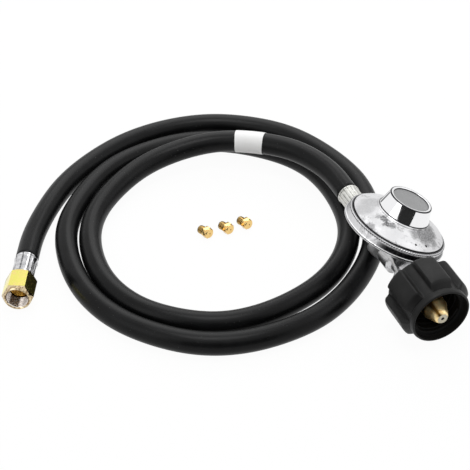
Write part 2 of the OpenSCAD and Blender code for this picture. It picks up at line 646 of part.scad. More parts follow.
module flare_stem() color([0.8, 0.64, 0.3]) at_flare() difference() {
    seat = flare_thread_len + 0.2;
    shoulder = flare_thread_len + flare_relief;
    union() {
        translate([0, 0, -flare_nut_mouth]) rotate_extrude() polygon([[0, seat + 4.4], [2, seat + 4.4],
            [flare_bore_d / 2 - 1, seat], [flare_bore_d / 2 - 0.6, seat],
            [flare_bore_d / 2 - 0.6, shoulder - 0.4], [flare_neck_d / 2, shoulder + 1.3],
            [flare_neck_d / 2, flare_nut_len + flare_neck_gap - 0.02],
            [0, flare_nut_len + flare_neck_gap - 0.02]]);
        translate([0, 0, -flare_ferrule_len - 0.5]) cylinder(d = barb_d, h = 2.5);
        translate([0, 0, -crimp_len - 2]) barb(crimp_len - 2);
    }
    translate([0, 0, -flare_nut_mouth - 1]) cylinder(d = 4, h = flare_nut_mouth + 2, $fn = 48);
}

// A six-sided nut with round chamfers, flats up and down
module flare_nut() color([0.85, 0.7, 0.35]) at_flare() translate([0, 0, -flare_nut_mouth]) difference() {
    corner = flare_af / cos(30);
    intersection() {
        linear_extrude(flare_nut_len) circle(d = corner, $fn = 6);
        rotate_extrude() polygon([[0, 0], [flare_af / 2 - 0.9, 0], [corner / 2, 3.2],
            [corner / 2, flare_nut_len - 1.6], [flare_af / 2 - 0.4, flare_nut_len], [0, flare_nut_len]]);
    }
    translate([0, 0, -1]) cylinder(d = flare_bore_d, h = flare_thread_len + 2);
    translate([0, 0, -0.01]) cylinder(d1 = flare_bore_d + 1.8, d2 = flare_bore_d, h = 1.2);
    translate([0, 0, flare_thread_len]) cylinder(d = flare_bore_d + 0.6, h = flare_relief);
    translate([0, 0, flare_thread_len + flare_relief - 0.01])
        cylinder(d1 = flare_bore_d, d2 = flare_neck_d + 2 * running, h = 1.5);
    translate([0, 0, flare_thread_len]) cylinder(d = flare_neck_d + 2 * running, h = flare_nut_len);
}

// ---- Spare orifice jets ----

// Tilt at which a jet rests on its head and the end of its thread
jet_tilt = atan((jet_af / 2 - jet_thread_d / 2) / jet_thread_len);
jet_heading = -67;
jet_places = [[-68, 78.5, 0], [-52.5, 77, 0], [-38, 77, 0]];

// Hexagonal head, domed nose and thread, with a fine hole through all of it
module jet() rotate([0, 0, jet_heading]) translate([0, 0, jet_af / 2 * cos(jet_tilt)])
    rotate([0, 90 - jet_tilt, 0]) difference() {
        union() {
            rotate(30) linear_extrude(jet_head_len) circle(d = jet_af / cos(30), $fn = 6);
            rotate_extrude($fn = 48) polygon([[0, -jet_thread_len], [jet_thread_d / 2, -jet_thread_len],
                [jet_thread_d / 2, -jet_relief], [jet_thread_d / 2 - 0.7, -jet_relief],
                [jet_thread_d / 2 - 0.7, 1], [jet_af / 2 - 0.1, 1], [jet_af / 2 - 0.1, jet_head_len + 0.8],
                [jet_af / 2 - 0.5, jet_head_len + 1.2], [jet_hole_d / 2 + 0.9, jet_head_len + 1.4],
                [0, jet_head_len + 1.4]]);
        }
        translate([0, 0, -jet_thread_len - 1]) cylinder(d = jet_hole_d + 1.4, h = jet_thread_len + 2, $fn = 24);
        cylinder(d = jet_hole_d, h = 20, $fn = 24);
    }

module orifice_jet_1() color([0.82, 0.62, 0.25]) translate(jet_places[0]) jet();
module orifice_jet_2() color([0.82, 0.62, 0.25]) translate(jet_places[1]) jet();
module orifice_jet_3() color([0.82, 0.62, 0.25]) translate(jet_places[2]) jet();

// ---- Least gap between the hose and itself, measured on close points ----

fine = concat([flare_place, flare_place + flare_axis * lead / 2], curve_through(guided, 9),
    [outlet_mouth + [0, lead / 2, 0], outlet_mouth]);
self_gap = min([for (i = [0 : len(fine) - 1]) for (j = [i + 12 : 1 : len(fine) - 1])
    norm(fine[i] - fine[j])]) - hose_od;
function run_length(p, i = 0, sum = 0) =
    i >= len(p) - 1 ? sum : run_length(p, i + 1, sum + norm(p[i + 1] - p[i]));
echo(hose_self_gap = self_gap, free_length = run_length(fine), rings = len(hose_path));

coupling_nut();
inlet_nipple();
thermal_bushing();
nose_insert();
excess_flow_poppet();
excess_flow_spring();
regulator_body();
bonnet();
crimp_ring();
tower_cap();
adjusting_screw();
main_spring();
diaphragm();
diaphragm_plate();
relief_stem();
relief_spring();
relief_nut();
lever();
lever_pin();
valve_seat();
valve_holder();
valve_disc();
outlet_nipple();
regulator_ferrule();
hose();
hose_label();
flare_ferrule();
flare_stem();
flare_nut();
orifice_jet_1();
orifice_jet_2();
orifice_jet_3();
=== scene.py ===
"""Dressed model of a low pressure propane regulator with its supply hose.

Every piece is modelled in millimetres in the frame of the sub-assembly it
belongs to, and is then set in place in the shared frame, in metres.
"""

import json
import logging
import math
from dataclasses import dataclass
from enum import Enum
from typing import Callable, Sequence

import bmesh
import bpy
import numpy as np
from mathutils import Matrix, Vector

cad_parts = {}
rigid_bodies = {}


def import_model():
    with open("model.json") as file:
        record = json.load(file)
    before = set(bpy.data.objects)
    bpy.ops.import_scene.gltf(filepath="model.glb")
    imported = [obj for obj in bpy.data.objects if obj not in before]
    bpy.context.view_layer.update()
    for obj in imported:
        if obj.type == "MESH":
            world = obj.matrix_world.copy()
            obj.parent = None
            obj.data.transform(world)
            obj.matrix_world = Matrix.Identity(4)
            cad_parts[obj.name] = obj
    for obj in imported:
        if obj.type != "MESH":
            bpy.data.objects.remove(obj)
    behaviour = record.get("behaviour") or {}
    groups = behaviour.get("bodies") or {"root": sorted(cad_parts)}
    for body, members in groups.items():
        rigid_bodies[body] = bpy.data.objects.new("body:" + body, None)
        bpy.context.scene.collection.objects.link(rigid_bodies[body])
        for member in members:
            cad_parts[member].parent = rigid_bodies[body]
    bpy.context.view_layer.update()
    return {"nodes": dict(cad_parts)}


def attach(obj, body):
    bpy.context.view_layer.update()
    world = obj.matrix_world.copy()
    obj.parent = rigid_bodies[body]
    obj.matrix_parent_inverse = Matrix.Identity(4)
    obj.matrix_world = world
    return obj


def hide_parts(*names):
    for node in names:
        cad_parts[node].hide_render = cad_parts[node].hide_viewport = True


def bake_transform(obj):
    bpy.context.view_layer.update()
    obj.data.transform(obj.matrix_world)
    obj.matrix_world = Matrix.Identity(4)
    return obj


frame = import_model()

log = logging.getLogger("regulator_hose")

Point = tuple[float, float]
Range = tuple[float, float]
Spot = tuple[float, float, float]
Tint = tuple[float, float, float]
Piece = bpy.types.Object
Socket = bpy.types.NodeSocket

MM = 0.001
POINTS = (True, False, False)
EDGES = (False, True, False)


def turn_about(angle: float, axis: str) -> Matrix:
    """A turn of angle degrees about the X, Y or Z axis."""
    return Matrix.Rotation(math.radians(angle), 4, axis)


class Site(Enum):
    """Frames that the sub-assemblies are modelled in, z along the axis of each."""

    REGULATOR = Matrix.Scale(MM, 4) @ Matrix.Translation((33, -5.5, 25)) @ turn_about(25, "Y")
    INLET = REGULATOR @ turn_about(90, "X")
    OUTLET = REGULATOR @ turn_about(-90, "X")
    FLARE = (
        Matrix.Scale(MM, 4) @ Matrix.Translation((-197, 91, 9.5))
        @ turn_about(-25, "Z") @ turn_about(-3, "X") @ turn_about(-90, "X")
    )


# ---- Finishes ----


BEYOND = 60.0  # A radius outside the whole regulator, in millimetres.
BANDS_PER_UNIT = 3.2  # Bands of a wave texture in one unit of its coordinates.
HOSE_MAP = "along"  # The hose's UV map, in metres along it and round it.


class NodeSheet:
    """Node tree of one material, with short names for the nodes that the finishes use."""

    def __init__(self, name: str) -> None:
        """Starts a material with an output and a principled shader.

        Args:
            name: The material's name.
        """
        self.material = bpy.data.materials.new(name)
        self.material.use_nodes = True
        self.tree = self.material.node_tree
        self.shader = self.tree.nodes["Principled BSDF"]

    def add(self, kind: str, **values: object) -> bpy.types.Node:
        """Adds a node.

        Args:
            kind: Name of the node's class.
            **values: Properties of the node, or values for its inputs by name
                with underscores for spaces.

        Returns:
            The new node.
        """
        node = self.tree.nodes.new(kind)
        for key, value in values.items():
            if hasattr(node, key):
                setattr(node, key, value)
            else:
                node.inputs[key.replace("_", " ")].default_value = value
        return node

    def link(self, source: Socket, target: Socket) -> None:
        """Joins an output to an input."""
        self.tree.links.new(source, target)

    def place(self, site: Matrix | None = None) -> Socket:
        """Object coordinates in millimetres, turned into a sub-assembly's frame.

        Args:
            site: Frame to read the coordinates in, or None for the shared frame.

        Returns:
            The socket that holds the coordinates.
        """
        back = (site if site is not None else Matrix.Scale(MM, 4)).inverted()
        coords = self.add("ShaderNodeTexCoord")
        turned = self.add(
            "ShaderNodeMapping",
            Location=back.translation, Rotation=back.to_euler("XYZ"), Scale=back.to_scale(),
        )
        self.link(coords.outputs["Object"], turned.inputs["Vector"])
        return turned.outputs["Vector"]

    def mapped(self, coords: Socket, scale: Spot, shift: Spot = (0.0, 0.0, 0.0)) -> Socket:
        """Coordinates times a scale, plus a shift.

        Args:
            coords: The coordinates.
            scale: Factors on the three coordinates.
            shift: What is added to them.

        Returns:
            The socket that holds the result.
        """
        node = self.add("ShaderNodeMapping", Location=shift, Scale=scale)
        self.link(coords, node.inputs["Vector"])
        return node.outputs["Vector"]

    def noise(self, coords: Socket, size: float, detail: float = 3.0, rough: float = 0.55) -> Socket:
        """Noise with features of a given size.

        Args:
            coords: Coordinates in millimetres.
            size: Size of the largest features, in millimetres.
            detail: Octaves of finer noise.
            rough: Strength of the finer octaves.

        Returns:
            The socket that holds the noise, from 0 to 1.
        """
        node = self.add("ShaderNodeTexNoise", Scale=1.0 / size, Detail=detail, Roughness=rough)
        self.link(coords, node.inputs["Vector"])
        return node.outputs["Fac"]

    def span(self, value: Socket, low: float, high: float, start: float = 0.0, end: float = 1.0) -> Socket:
        """Maps values from low to high onto start to end, and holds the ends.

        Args:
            value: The socket to map.
            low: Value that gives start.
            high: Value that gives end.
            start: Result at low.
            end: Result at high.

        Returns:
            The socket that holds the result.
        """
        node = self.add(
            "ShaderNodeMapRange", clamp=True, From_Min=low, From_Max=high, To_Min=start, To_Max=end,
        )
        self.link(value, node.inputs["Value"])
        return node.outputs["Result"]

    def below(self, value: Socket, limit: float, soft: float) -> Socket:
        """One where a value lies below a limit, fading over a width past it."""
        return self.span(value, limit, limit + soft, 1.0, 0.0)

    def band(self, value: Socket, low: float, high: float, soft: float) -> Socket:
        """One where a value lies between two numbers, fading over a width on both sides of each."""
        rise = self.span(value, low - soft, low + soft)
        return self.times(rise, self.span(value, high - soft, high + soft, 1.0, 0.0))

    def blend(self, share: Socket, first: Tint | Socket, second: Tint | Socket) -> Socket:
        """Blends two colours.

        Args:
            share: Socket with the share of the second colour.
            first: First colour, or a socket that holds it.
            second: Second colour, or a socket that holds it.

        Returns:
            The socket that holds the blended colour.
        """
        node = self.add("ShaderNodeMix", data_type="RGBA", clamp_factor=True)
        self.link(share, node.inputs[0])
        for socket, colour in ((node.inputs[6], first), (node.inputs[7], second)):
            if isinstance(colour, Socket):
                self.link(colour, socket)
            else:
                socket.default_value = (*colour, 1.0)
        return node.outputs[2]

    def sums(self, operation: str, first: Socket, second: Socket | float = 0.0) -> Socket:
        """Arithmetic on a socket.

        Args:
            operation: Name of the operation, such as MAXIMUM.
            first: The first value.
            second: The second value, a number or a socket.

        Returns:
            The socket that holds the result.
        """
        node = self.add("ShaderNodeMath", operation=operation)
        self.link(first, node.inputs[0])
        if isinstance(second, Socket):
            self.link(second, node.inputs[1])
        else:
            node.inputs[1].default_value = second
        return node.outputs[0]

    def times(self, first: Socket, second: Socket | float) -> Socket:
        """Product of two values."""
        return self.sums("MULTIPLY", first, second)

    def mean(self, first: Socket, second: Socket) -> Socket:
        """Mean of two values."""
        return self.sums("ADD", self.times(first, 0.5), self.times(second, 0.5))

    def parts(self, coords: Socket) -> bpy.types.Node:
        """Separates coordinates into x, y and z.

        Args:
            coords: The coordinates.

        Returns:
            The node that holds the three.
        """
        split = self.add("ShaderNodeSeparateXYZ")
        self.link(coords, split.inputs[0])
        return split

    def radius(self, split: bpy.types.Node) -> Socket:
        """Distance from z of the coordinates in a separate node."""
        squares = [self.sums("POWER", split.outputs[axis], 2.0) for axis in "XY"]
        return self.sums("POWER", self.sums("ADD", *squares), 0.5)

    def angle(self, split: bpy.types.Node) -> Socket:
        """Angle about z of the coordinates in a separate node, in radians."""
        return self.sums("ARCTAN2", split.outputs["Y"], split.outputs["X"])

    def degrees(self, split: bpy.types.Node) -> Socket:
        """Angle about z of the coordinates in a separate node, in degrees."""
        return self.times(self.angle(split), 180.0 / math.pi)

    def warp(self, coords: Socket, size: float, reach: float) -> Socket:
        """Coordinates pushed about by noise, so that marks drawn in them get ragged edges.

        Args:
            coords: Coordinates in millimetres.
            size: Size of the noise, in millimetres.
            reach: How far the coordinates are pushed, in millimetres.

        Returns:
            The socket that holds the pushed coordinates.
        """
        field = self.add("ShaderNodeTexNoise", Scale=1.0 / size, Detail=4.0, Roughness=0.65)
        self.link(coords, field.inputs["Vector"])
        centred = self.add("ShaderNodeVectorMath", operation="SUBTRACT")
        self.link(field.outputs["Color"], centred.inputs[0])
        centred.inputs[1].default_value = (0.5, 0.5, 0.5)
        pushed = self.add("ShaderNodeVectorMath", operation="SCALE", Scale=reach * 2)
        self.link(centred.outputs["Vector"], pushed.inputs[0])
        total = self.add("ShaderNodeVectorMath", operation="ADD")
        self.link(coords, total.inputs[0])
        self.link(pushed.outputs["Vector"], total.inputs[1])
        return total.outputs["Vector"]

    def spot(self, coords: Socket, x: float, y: float, reach: float) -> Socket:
        """A soft round spot, seen along z.

        Args:
            coords: Coordinates in millimetres.
            x: Place of its middle along x.
            y: Place of its middle along y.
            reach: Its radius.

        Returns:
            The socket that holds the spot, one in its middle.
        """
        moved = self.mapped(coords, (1 / reach, 1 / reach, 0.0), (-x / reach, -y / reach, 0.0))
        far = self.add("ShaderNodeVectorMath", operation="LENGTH")
        self.link(moved, far.inputs[0])
        return self.span(far.outputs["Value"], 0.55, 1.0, 1.0, 0.0)

    def relief(self, height: Socket, depth: float, rounding: float = 0.0) -> None:
        """Raises the surface by a height map.

        Args:
            height: Heights from 0 to 1.
            depth: Height of the relief in millimetres.
            rounding: Radius that hard edges are rounded by, in millimetres.
        """
        bump = self.add("ShaderNodeBump", Distance=depth * MM, Strength=1.0)
        self.link(height, bump.inputs["Height"])
        if rounding:
            edge = self.add("ShaderNodeBevel", samples=4, Radius=rounding * MM)
            self.link(edge.outputs["Normal"], bump.inputs["Normal"])
        self.link(bump.outputs["Normal"], self.shader.inputs["Normal"])

    def coat(self, tint: Socket, rough: Socket, metallic: float = 0.0, level: float = 0.5) -> None:
        """Gives the shader its colour and its gloss.

        Args:
            tint: Socket with the colour.
            rough: Socket with the roughness.
            metallic: One for bare metal, otherwise zero.
            level: How strongly a surface that isn't metal reflects.
        """
        self.link(tint, self.shader.inputs["Base Color"])
        self.link(rough, self.shader.inputs["Roughness"])
        self.shader.inputs["Metallic"].default_value = metallic
        self.shader.inputs["Specular IOR Level"].default_value = level


@dataclass(frozen=True)
class Metal:
    """A metal surface with patches of a second tint, fine marks and soft edges."""

    name: str
    colour: Tint
    stain: Tint
    gloss: Range
    patch: float
    patch_edges: Range
    grain: float
    relief: float
    turned: Matrix | None = None
    ring_pitch: float = 0.3
    rounding: float = 0.0
    # Tint of the painted shade and the painted reflection strip; the count of crimp grooves with painted
    # shade, the angles of the painted dark reflection strip, and the radius and top of the painted shade in
    # thread roots.
    dark: Tint = (0.03, 0.03, 0.03)
    ridges: int = 0
    reflection_strip: Range | None = None
    root: Range | None = None

    def marks(self, sheet: NodeSheet, coords: Socket, tint: Socket) -> Socket:
        """Adds painted shade in the grooves of a crimp, a painted dark reflection strip on a cone and painted
        shade in the roots of a thread.

        Args:
            sheet: The material's sheet.
            coords: Coordinates in the frame that the marks lie in.
            tint: Socket with the colour so far.

        Returns:
            The socket that holds the marked colour.
        """
        split = sheet.parts(coords)
        # Painted shade: dark lines at the bottom of the crimp's grooves.
        if self.ridges:
            wave = sheet.sums("COSINE", sheet.times(sheet.angle(split), float(self.ridges)))
            drift = sheet.span(sheet.noise(coords, size=2.5, detail=2.0), 0.35, 0.6, 0.35, 1.0)
            lines = sheet.times(sheet.span(wave, -0.95, -0.55, 0.9, 0.0), drift)
            tint = sheet.blend(lines, tint, self.dark)
        # Painted dark reflection: a strip between two angles round the cone.
        if self.reflection_strip is not None:
            tint = sheet.blend(sheet.band(sheet.degrees(split), *self.reflection_strip, 7.0), tint, self.dark)
        # Painted shade in the thread's roots, on the shank under the ridge.
        if self.root is not None:
            radius, top = self.root
            near = sheet.below(sheet.radius(split), radius, 0.2)
            recess_shade = sheet.times(near, sheet.below(split.outputs["Z"], top, 0.2))
            tint = sheet.blend(recess_shade, tint, self.dark)
        return tint

    def build(self) -> bpy.types.Material:
        """Makes the material.

        Returns:
            The material, with its nodes.
        """
        sheet = NodeSheet(self.name)
        coords = sheet.place(self.turned)
        patches = sheet.span(sheet.noise(coords, size=self.patch, detail=4.0), *self.patch_edges)
        fine = sheet.noise(coords, size=self.grain)
        tint = self.marks(sheet, coords, sheet.blend(patches, self.colour, self.stain))
        sheet.coat(tint, sheet.span(sheet.mean(patches, fine), 0.1, 0.8, *self.gloss), metallic=1.0)
        height = fine
        if self.turned is not None:
            rings = sheet.add(
                "ShaderNodeTexWave", wave_type="BANDS", bands_direction="Z",
                Scale=1.0 / (self.ring_pitch * BANDS_PER_UNIT), Distortion=0.6, Detail=2.0,
            )
            sheet.link(coords, rings.inputs["Vector"])
            height = sheet.mean(rings.outputs["Fac"], fine)
        sheet.relief(height, self.relief, self.rounding)
        return sheet.material


@dataclass(frozen=True)
class NutBrass:
    """Bright brass hexagon with a duller turned mouth and a grey thread inside."""

    name: str = "flare_nut_brass"
    colour: Tint = (0.90, 0.84, 0.20)
    warm: Tint = (0.92, 0.72, 0.26)
    mouth: Tint = (0.72, 0.59, 0.38)
    mouth_dark: Tint = (0.28, 0.19, 0.10)
    thread: Tint = (0.66, 0.60, 0.55)
    mouth_top: float = -39.0
    thread_top: Range = (-31.6, -30.8)
    back: Range = (-23.2, -22.4)
    inner: float = 7.6

    def build(self) -> bpy.types.Material:
        """Makes the material.

        Returns:
            The material, with its nodes.
        """
        sheet = NodeSheet(self.name)
        coords = sheet.place(Site.FLARE.value)
        split = sheet.parts(coords)
        height = split.outputs["Z"]
        cloud = sheet.noise(coords, size=3.0, detail=4.0)
        flats = sheet.blend(sheet.span(cloud, 0.45, 0.7), self.colour, self.warm)
        flats = sheet.blend(sheet.span(height, *self.back, 0.0, 0.8), flats, self.warm)
        marks = sheet.span(sheet.noise(coords, size=1.6), 0.42, 0.62)
        turned = sheet.blend(marks, self.mouth, self.mouth_dark)
        tint = sheet.blend(sheet.below(height, self.mouth_top, 0.5), flats, turned)
        tint = sheet.blend(sheet.below(sheet.radius(split), self.inner, 0.15), tint, self.thread)
        tint = sheet.blend(sheet.span(height, *self.thread_top), tint, flats)
        sheet.coat(tint, sheet.span(cloud, 0.3, 0.7, 0.08, 0.2), metallic=1.0)
        sheet.relief(sheet.noise(coords, size=0.5), depth=0.012, rounding=0.12)
        return sheet.material


@dataclass(frozen=True)
class CastZinc:
    """Plated zinc casting: rippled and blotched, polished on its tower, with painted dark reflections on its
    dome, tower and pan wall and painted shade lines along its edges.
    """

    name: str = "cast_zinc"
    colour: Tint = (0.66, 0.66, 0.67)
    polished: Tint = (0.88, 0.88, 0.89)
    shadow: Tint = (0.09, 0.09, 0.093)
    # Tint of the painted shade lines, and of the painted dark reflections on the tower and the pan wall.
    edge: Tint = (0.03, 0.03, 0.033)
    polish_from: float = 27.6
    polish: float = 0.07
    ripple: float = 0.16
    rounding: float = 0.0
    # Middle in x and y, radius and strength of each painted dark reflection spot.
    reflection_spots: tuple[tuple[float, float, float, float], ...] = (
        (-2.0, -22.0, 5.5, 0.7), (4.0, -22.0, 6.5, 0.82), (10.0, -20.5, 7.5, 0.86),
        (14.5, -17.5, 6.5, 0.86), (15.5, -13.0, 5.0, 0.75), (12.5, -24.5, 5.5, 0.72),
        (5.0, -26.0, 4.5, 0.6), (-20.8, -7.6, 3.8, 1.0), (-20.0, -11.0, 3.4, 1.0),
        (-17.5, -13.5, 3.0, 0.85), (-23.0, -4.5, 3.2, 0.7), (-31.0, -10.5, 4.5, 0.8),
        (-31.0, -15.0, 4.0, 0.5), (-20.0, 12.0, 9.0, 0.35), (-28.0, 6.0, 8.0, 0.35),
        (-25.0, -8.0, 9.0, 0.3),
    )
    edge_fade: float = 0.06
    # Least and greatest radius, then least and greatest height, of each painted shade line along an edge.
    edges: tuple[tuple[float, float, float, float], ...] = (
        (14.6, 15.62, 38.0, 39.5), (13.0, 13.3, 37.5, 38.4), (17.9, 18.75, 27.2, 28.2),
        (32.9, 34.5, 16.0, 18.85),
    )
    # Least radius, least and greatest height, front in y and strength of each painted dark reflection on a
    # wall.
    painted_wall_reflections: tuple[tuple[float, float, float, float, float], ...] = ()
    # Angles in degrees between which the tower has a painted dark reflection streak, and its height.
    reflection_streaks: tuple[Range, ...] = ()
    reflection_streak_height: Range = (28.6, 37.8)

    def build(self) -> bpy.types.Material:
        """Makes the material.

        Returns:
            The material, with its nodes.
        """
        sheet = NodeSheet(self.name)
        coords = sheet.place(Site.REGULATOR.value)
        split = sheet.parts(coords)
        height, radius = split.outputs["Z"], sheet.radius(split)
        cast = sheet.below(height, self.polish_from, 0.5)
        cloud = sheet.noise(coords, size=9.0, detail=5.0, rough=0.62)
        smudge = sheet.noise(coords, size=3.4, detail=4.0, rough=0.7)
        dark = sheet.span(sheet.times(cloud, smudge), 0.29, 0.42, 0.0, 0.7)
        streaks = sheet.span(sheet.noise(coords, size=1.2, detail=3.0, rough=0.7), 0.35, 0.6, 0.6, 1.0)
        # Coordinates pushed by noise, which give the painted reflection spots ragged edges.
        worn = sheet.warp(coords, size=5.0, reach=4.5) if self.reflection_spots else coords
        # Painted dark reflections: soft spots of the shadow tint on the dome, added to the random blotches.
        for x, y, reach, strength in self.reflection_spots:
            spot = sheet.times(sheet.spot(worn, x, y, reach), strength)
            dark = sheet.sums("MAXIMUM", dark, sheet.times(spot, streaks))
        tint = sheet.blend(cast, self.polished, self.colour)
        tint = sheet.blend(sheet.times(dark, cast), tint, self.shadow)
        # Painted shade: dark lines along the rims, steps and foot of the casting.
        for near, far, low, high in self.edges:
            line = sheet.band(radius, near, far, self.edge_fade)
            line = sheet.times(line, sheet.band(height, low, high, self.edge_fade))
            tint = sheet.blend(line, tint, self.edge)
        # Painted dark reflection streaks down the polished tower's left side.
        for low, high in self.reflection_streaks:
            line = sheet.band(sheet.degrees(split), low, high, 1.2)
            line = sheet.times(line, sheet.band(height, *self.reflection_streak_height, 0.2))
            tint = sheet.blend(line, tint, self.edge)
        # Painted dark reflection on the front of the pan's wall, its strength varied by noise.
        for near, low, high, front, strength in self.painted_wall_reflections:
            wall_reflection = sheet.times(sheet.band(radius, near, BEYOND, 0.3), sheet.band(height, low, high, 0.15))
            wall_reflection = sheet.times(wall_reflection, sheet.span(split.outputs["Y"], front, front + 6.0, strength, 0.0))
            tint = sheet.blend(sheet.times(wall_reflection, sheet.span(smudge, 0.3, 0.5, 0.75, 1.0)), tint, self.edge)
        rough = sheet.times(sheet.span(smudge, 0.3, 0.7, 0.22, 0.36), cast)
        sheet.coat(tint, sheet.sums("ADD", rough, self.polish), metallic=1.0)
        ripple = sheet.noise(coords, size=2.6, detail=5.0, rough=0.6)
        sheet.relief(sheet.times(ripple, cast), self.ripple, self.rounding)
        return sheet.material


@dataclass(frozen=True)
class Moulded:
    """Matte moulded plastic or rubber with a fine grain, paler rubbed places and painted shade, near black,
    in a hollow.
    """

    name: str
    colour: Tint
    rubbed: Tint
    gloss: Range
    grain: float = 0.35
    relief: float = 0.02
    level: float = 0.5
    # Radius round the inlet's axis within which painted shade darkens the hollow, and the shade's tint.
    hollow: float = 0.0
    hollow_shade: Tint = (0.002, 0.002, 0.002)

    def build(self) -> bpy.types.Material:
        """Makes the material, with painted shade, near black, within the hollow's radius round the inlet's
        axis.

        Returns:
            The material, with its nodes.
        """
        sheet = NodeSheet(self.name)
        coords = sheet.place()
        cloud = sheet.noise(coords, size=14.0, detail=5.0, rough=0.6)
        tint = sheet.blend(sheet.span(cloud, 0.4, 0.75), self.colour, self.rubbed)
        rough = sheet.span(sheet.noise(coords, size=5.0, detail=4.0), 0.3, 0.7, *self.gloss)
        # Painted shade inside the hollow: near black and rougher.
        if self.hollow:
            radius = sheet.radius(sheet.parts(sheet.place(Site.INLET.value)))
            recess_shade = sheet.below(radius, self.hollow, 0.1)
            tint = sheet.blend(recess_shade, tint, self.hollow_shade)
            rough = sheet.sums("ADD", rough, sheet.times(recess_shade, 0.3))
        sheet.coat(tint, rough, level=self.level)
        sheet.relief(sheet.noise(coords, size=self.grain, detail=2.0), self.relief)
        return sheet.material


@dataclass(frozen=True)
class HoseRubber:
    """Black hose cover: lengthwise die lines, fine pores and a few pale specks."""

    name: str = "hose_rubber"
    colour: Tint = (0.003, 0.0031, 0.0033)
    dusty: Tint = (0.007, 0.0073, 0.0077)
    speck: Tint = (0.07, 0.07, 0.07)
    gloss: Range = (0.29, 0.4)
    level: float = 0.15
    lines_per_metre: Spot = (18.0, 900.0, 1.0)

    def build(self) -> bpy.types.Material:
        """Makes the material.

        Returns:
            The material, with its nodes. It reads the hose's own UV map, in metres.
        """
        sheet = NodeSheet(self.name)
        along = sheet.add("ShaderNodeUVMap", uv_map=HOSE_MAP).outputs["UV"]
        die = sheet.noise(sheet.mapped(along, self.lines_per_metre), size=1.0)
        coords = sheet.place()
        cloud = sheet.noise(coords, size=22.0, detail=4.0, rough=0.6)
        pores = sheet.noise(coords, size=0.5, detail=3.0, rough=0.6)
        specks = sheet.span(sheet.noise(coords, size=0.9, detail=0.0), 0.83, 0.87)
        base = sheet.blend(sheet.span(cloud, 0.4, 0.75), self.colour, self.dusty)
        rough = sheet.span(sheet.sums("ADD", cloud, pores), 0.7, 1.3, *self.gloss)
        sheet.coat(sheet.blend(specks, base, self.speck), rough, level=self.level)
        sheet.relief(sheet.sums("ADD", sheet.times(die, 0.6), sheet.times(pores, 0.4)), depth=0.012)
        return sheet.material


@dataclass(frozen=True)
class LabelPaper:
    """White coated paper with faint fibres and a slightly worn surface."""

    name: str = "label_paper"
    colour: Tint = (0.97, 0.97, 0.965)
    worn: Tint = (0.88, 0.88, 0.87)

    def build(self) -> bpy.types.Material:
        """Makes the material.

        Returns:
            The material, with its nodes.
        """
        sheet = NodeSheet(self.name)
        coords = sheet.place()
        fibres = sheet.noise(sheet.mapped(coords, (1.0, 0.3, 1.0)), size=0.7, detail=4.0, rough=0.65)
        smears = sheet.span(sheet.noise(coords, size=4.0, detail=5.0, rough=0.7), 0.55, 0.8, 0.0, 0.8)
        sheet.coat(sheet.blend(smears, self.colour, self.worn), sheet.span(fibres, 0.3, 0.7, 0.4, 0.55))
        sheet.relief(fibres, depth=0.03)
        return sheet.material


def grey(tone: float) -> Tint:
    """A neutral colour."""
    return (tone, tone, tone)


STEEL_DARK = (0.46, 0.46, 0.48)


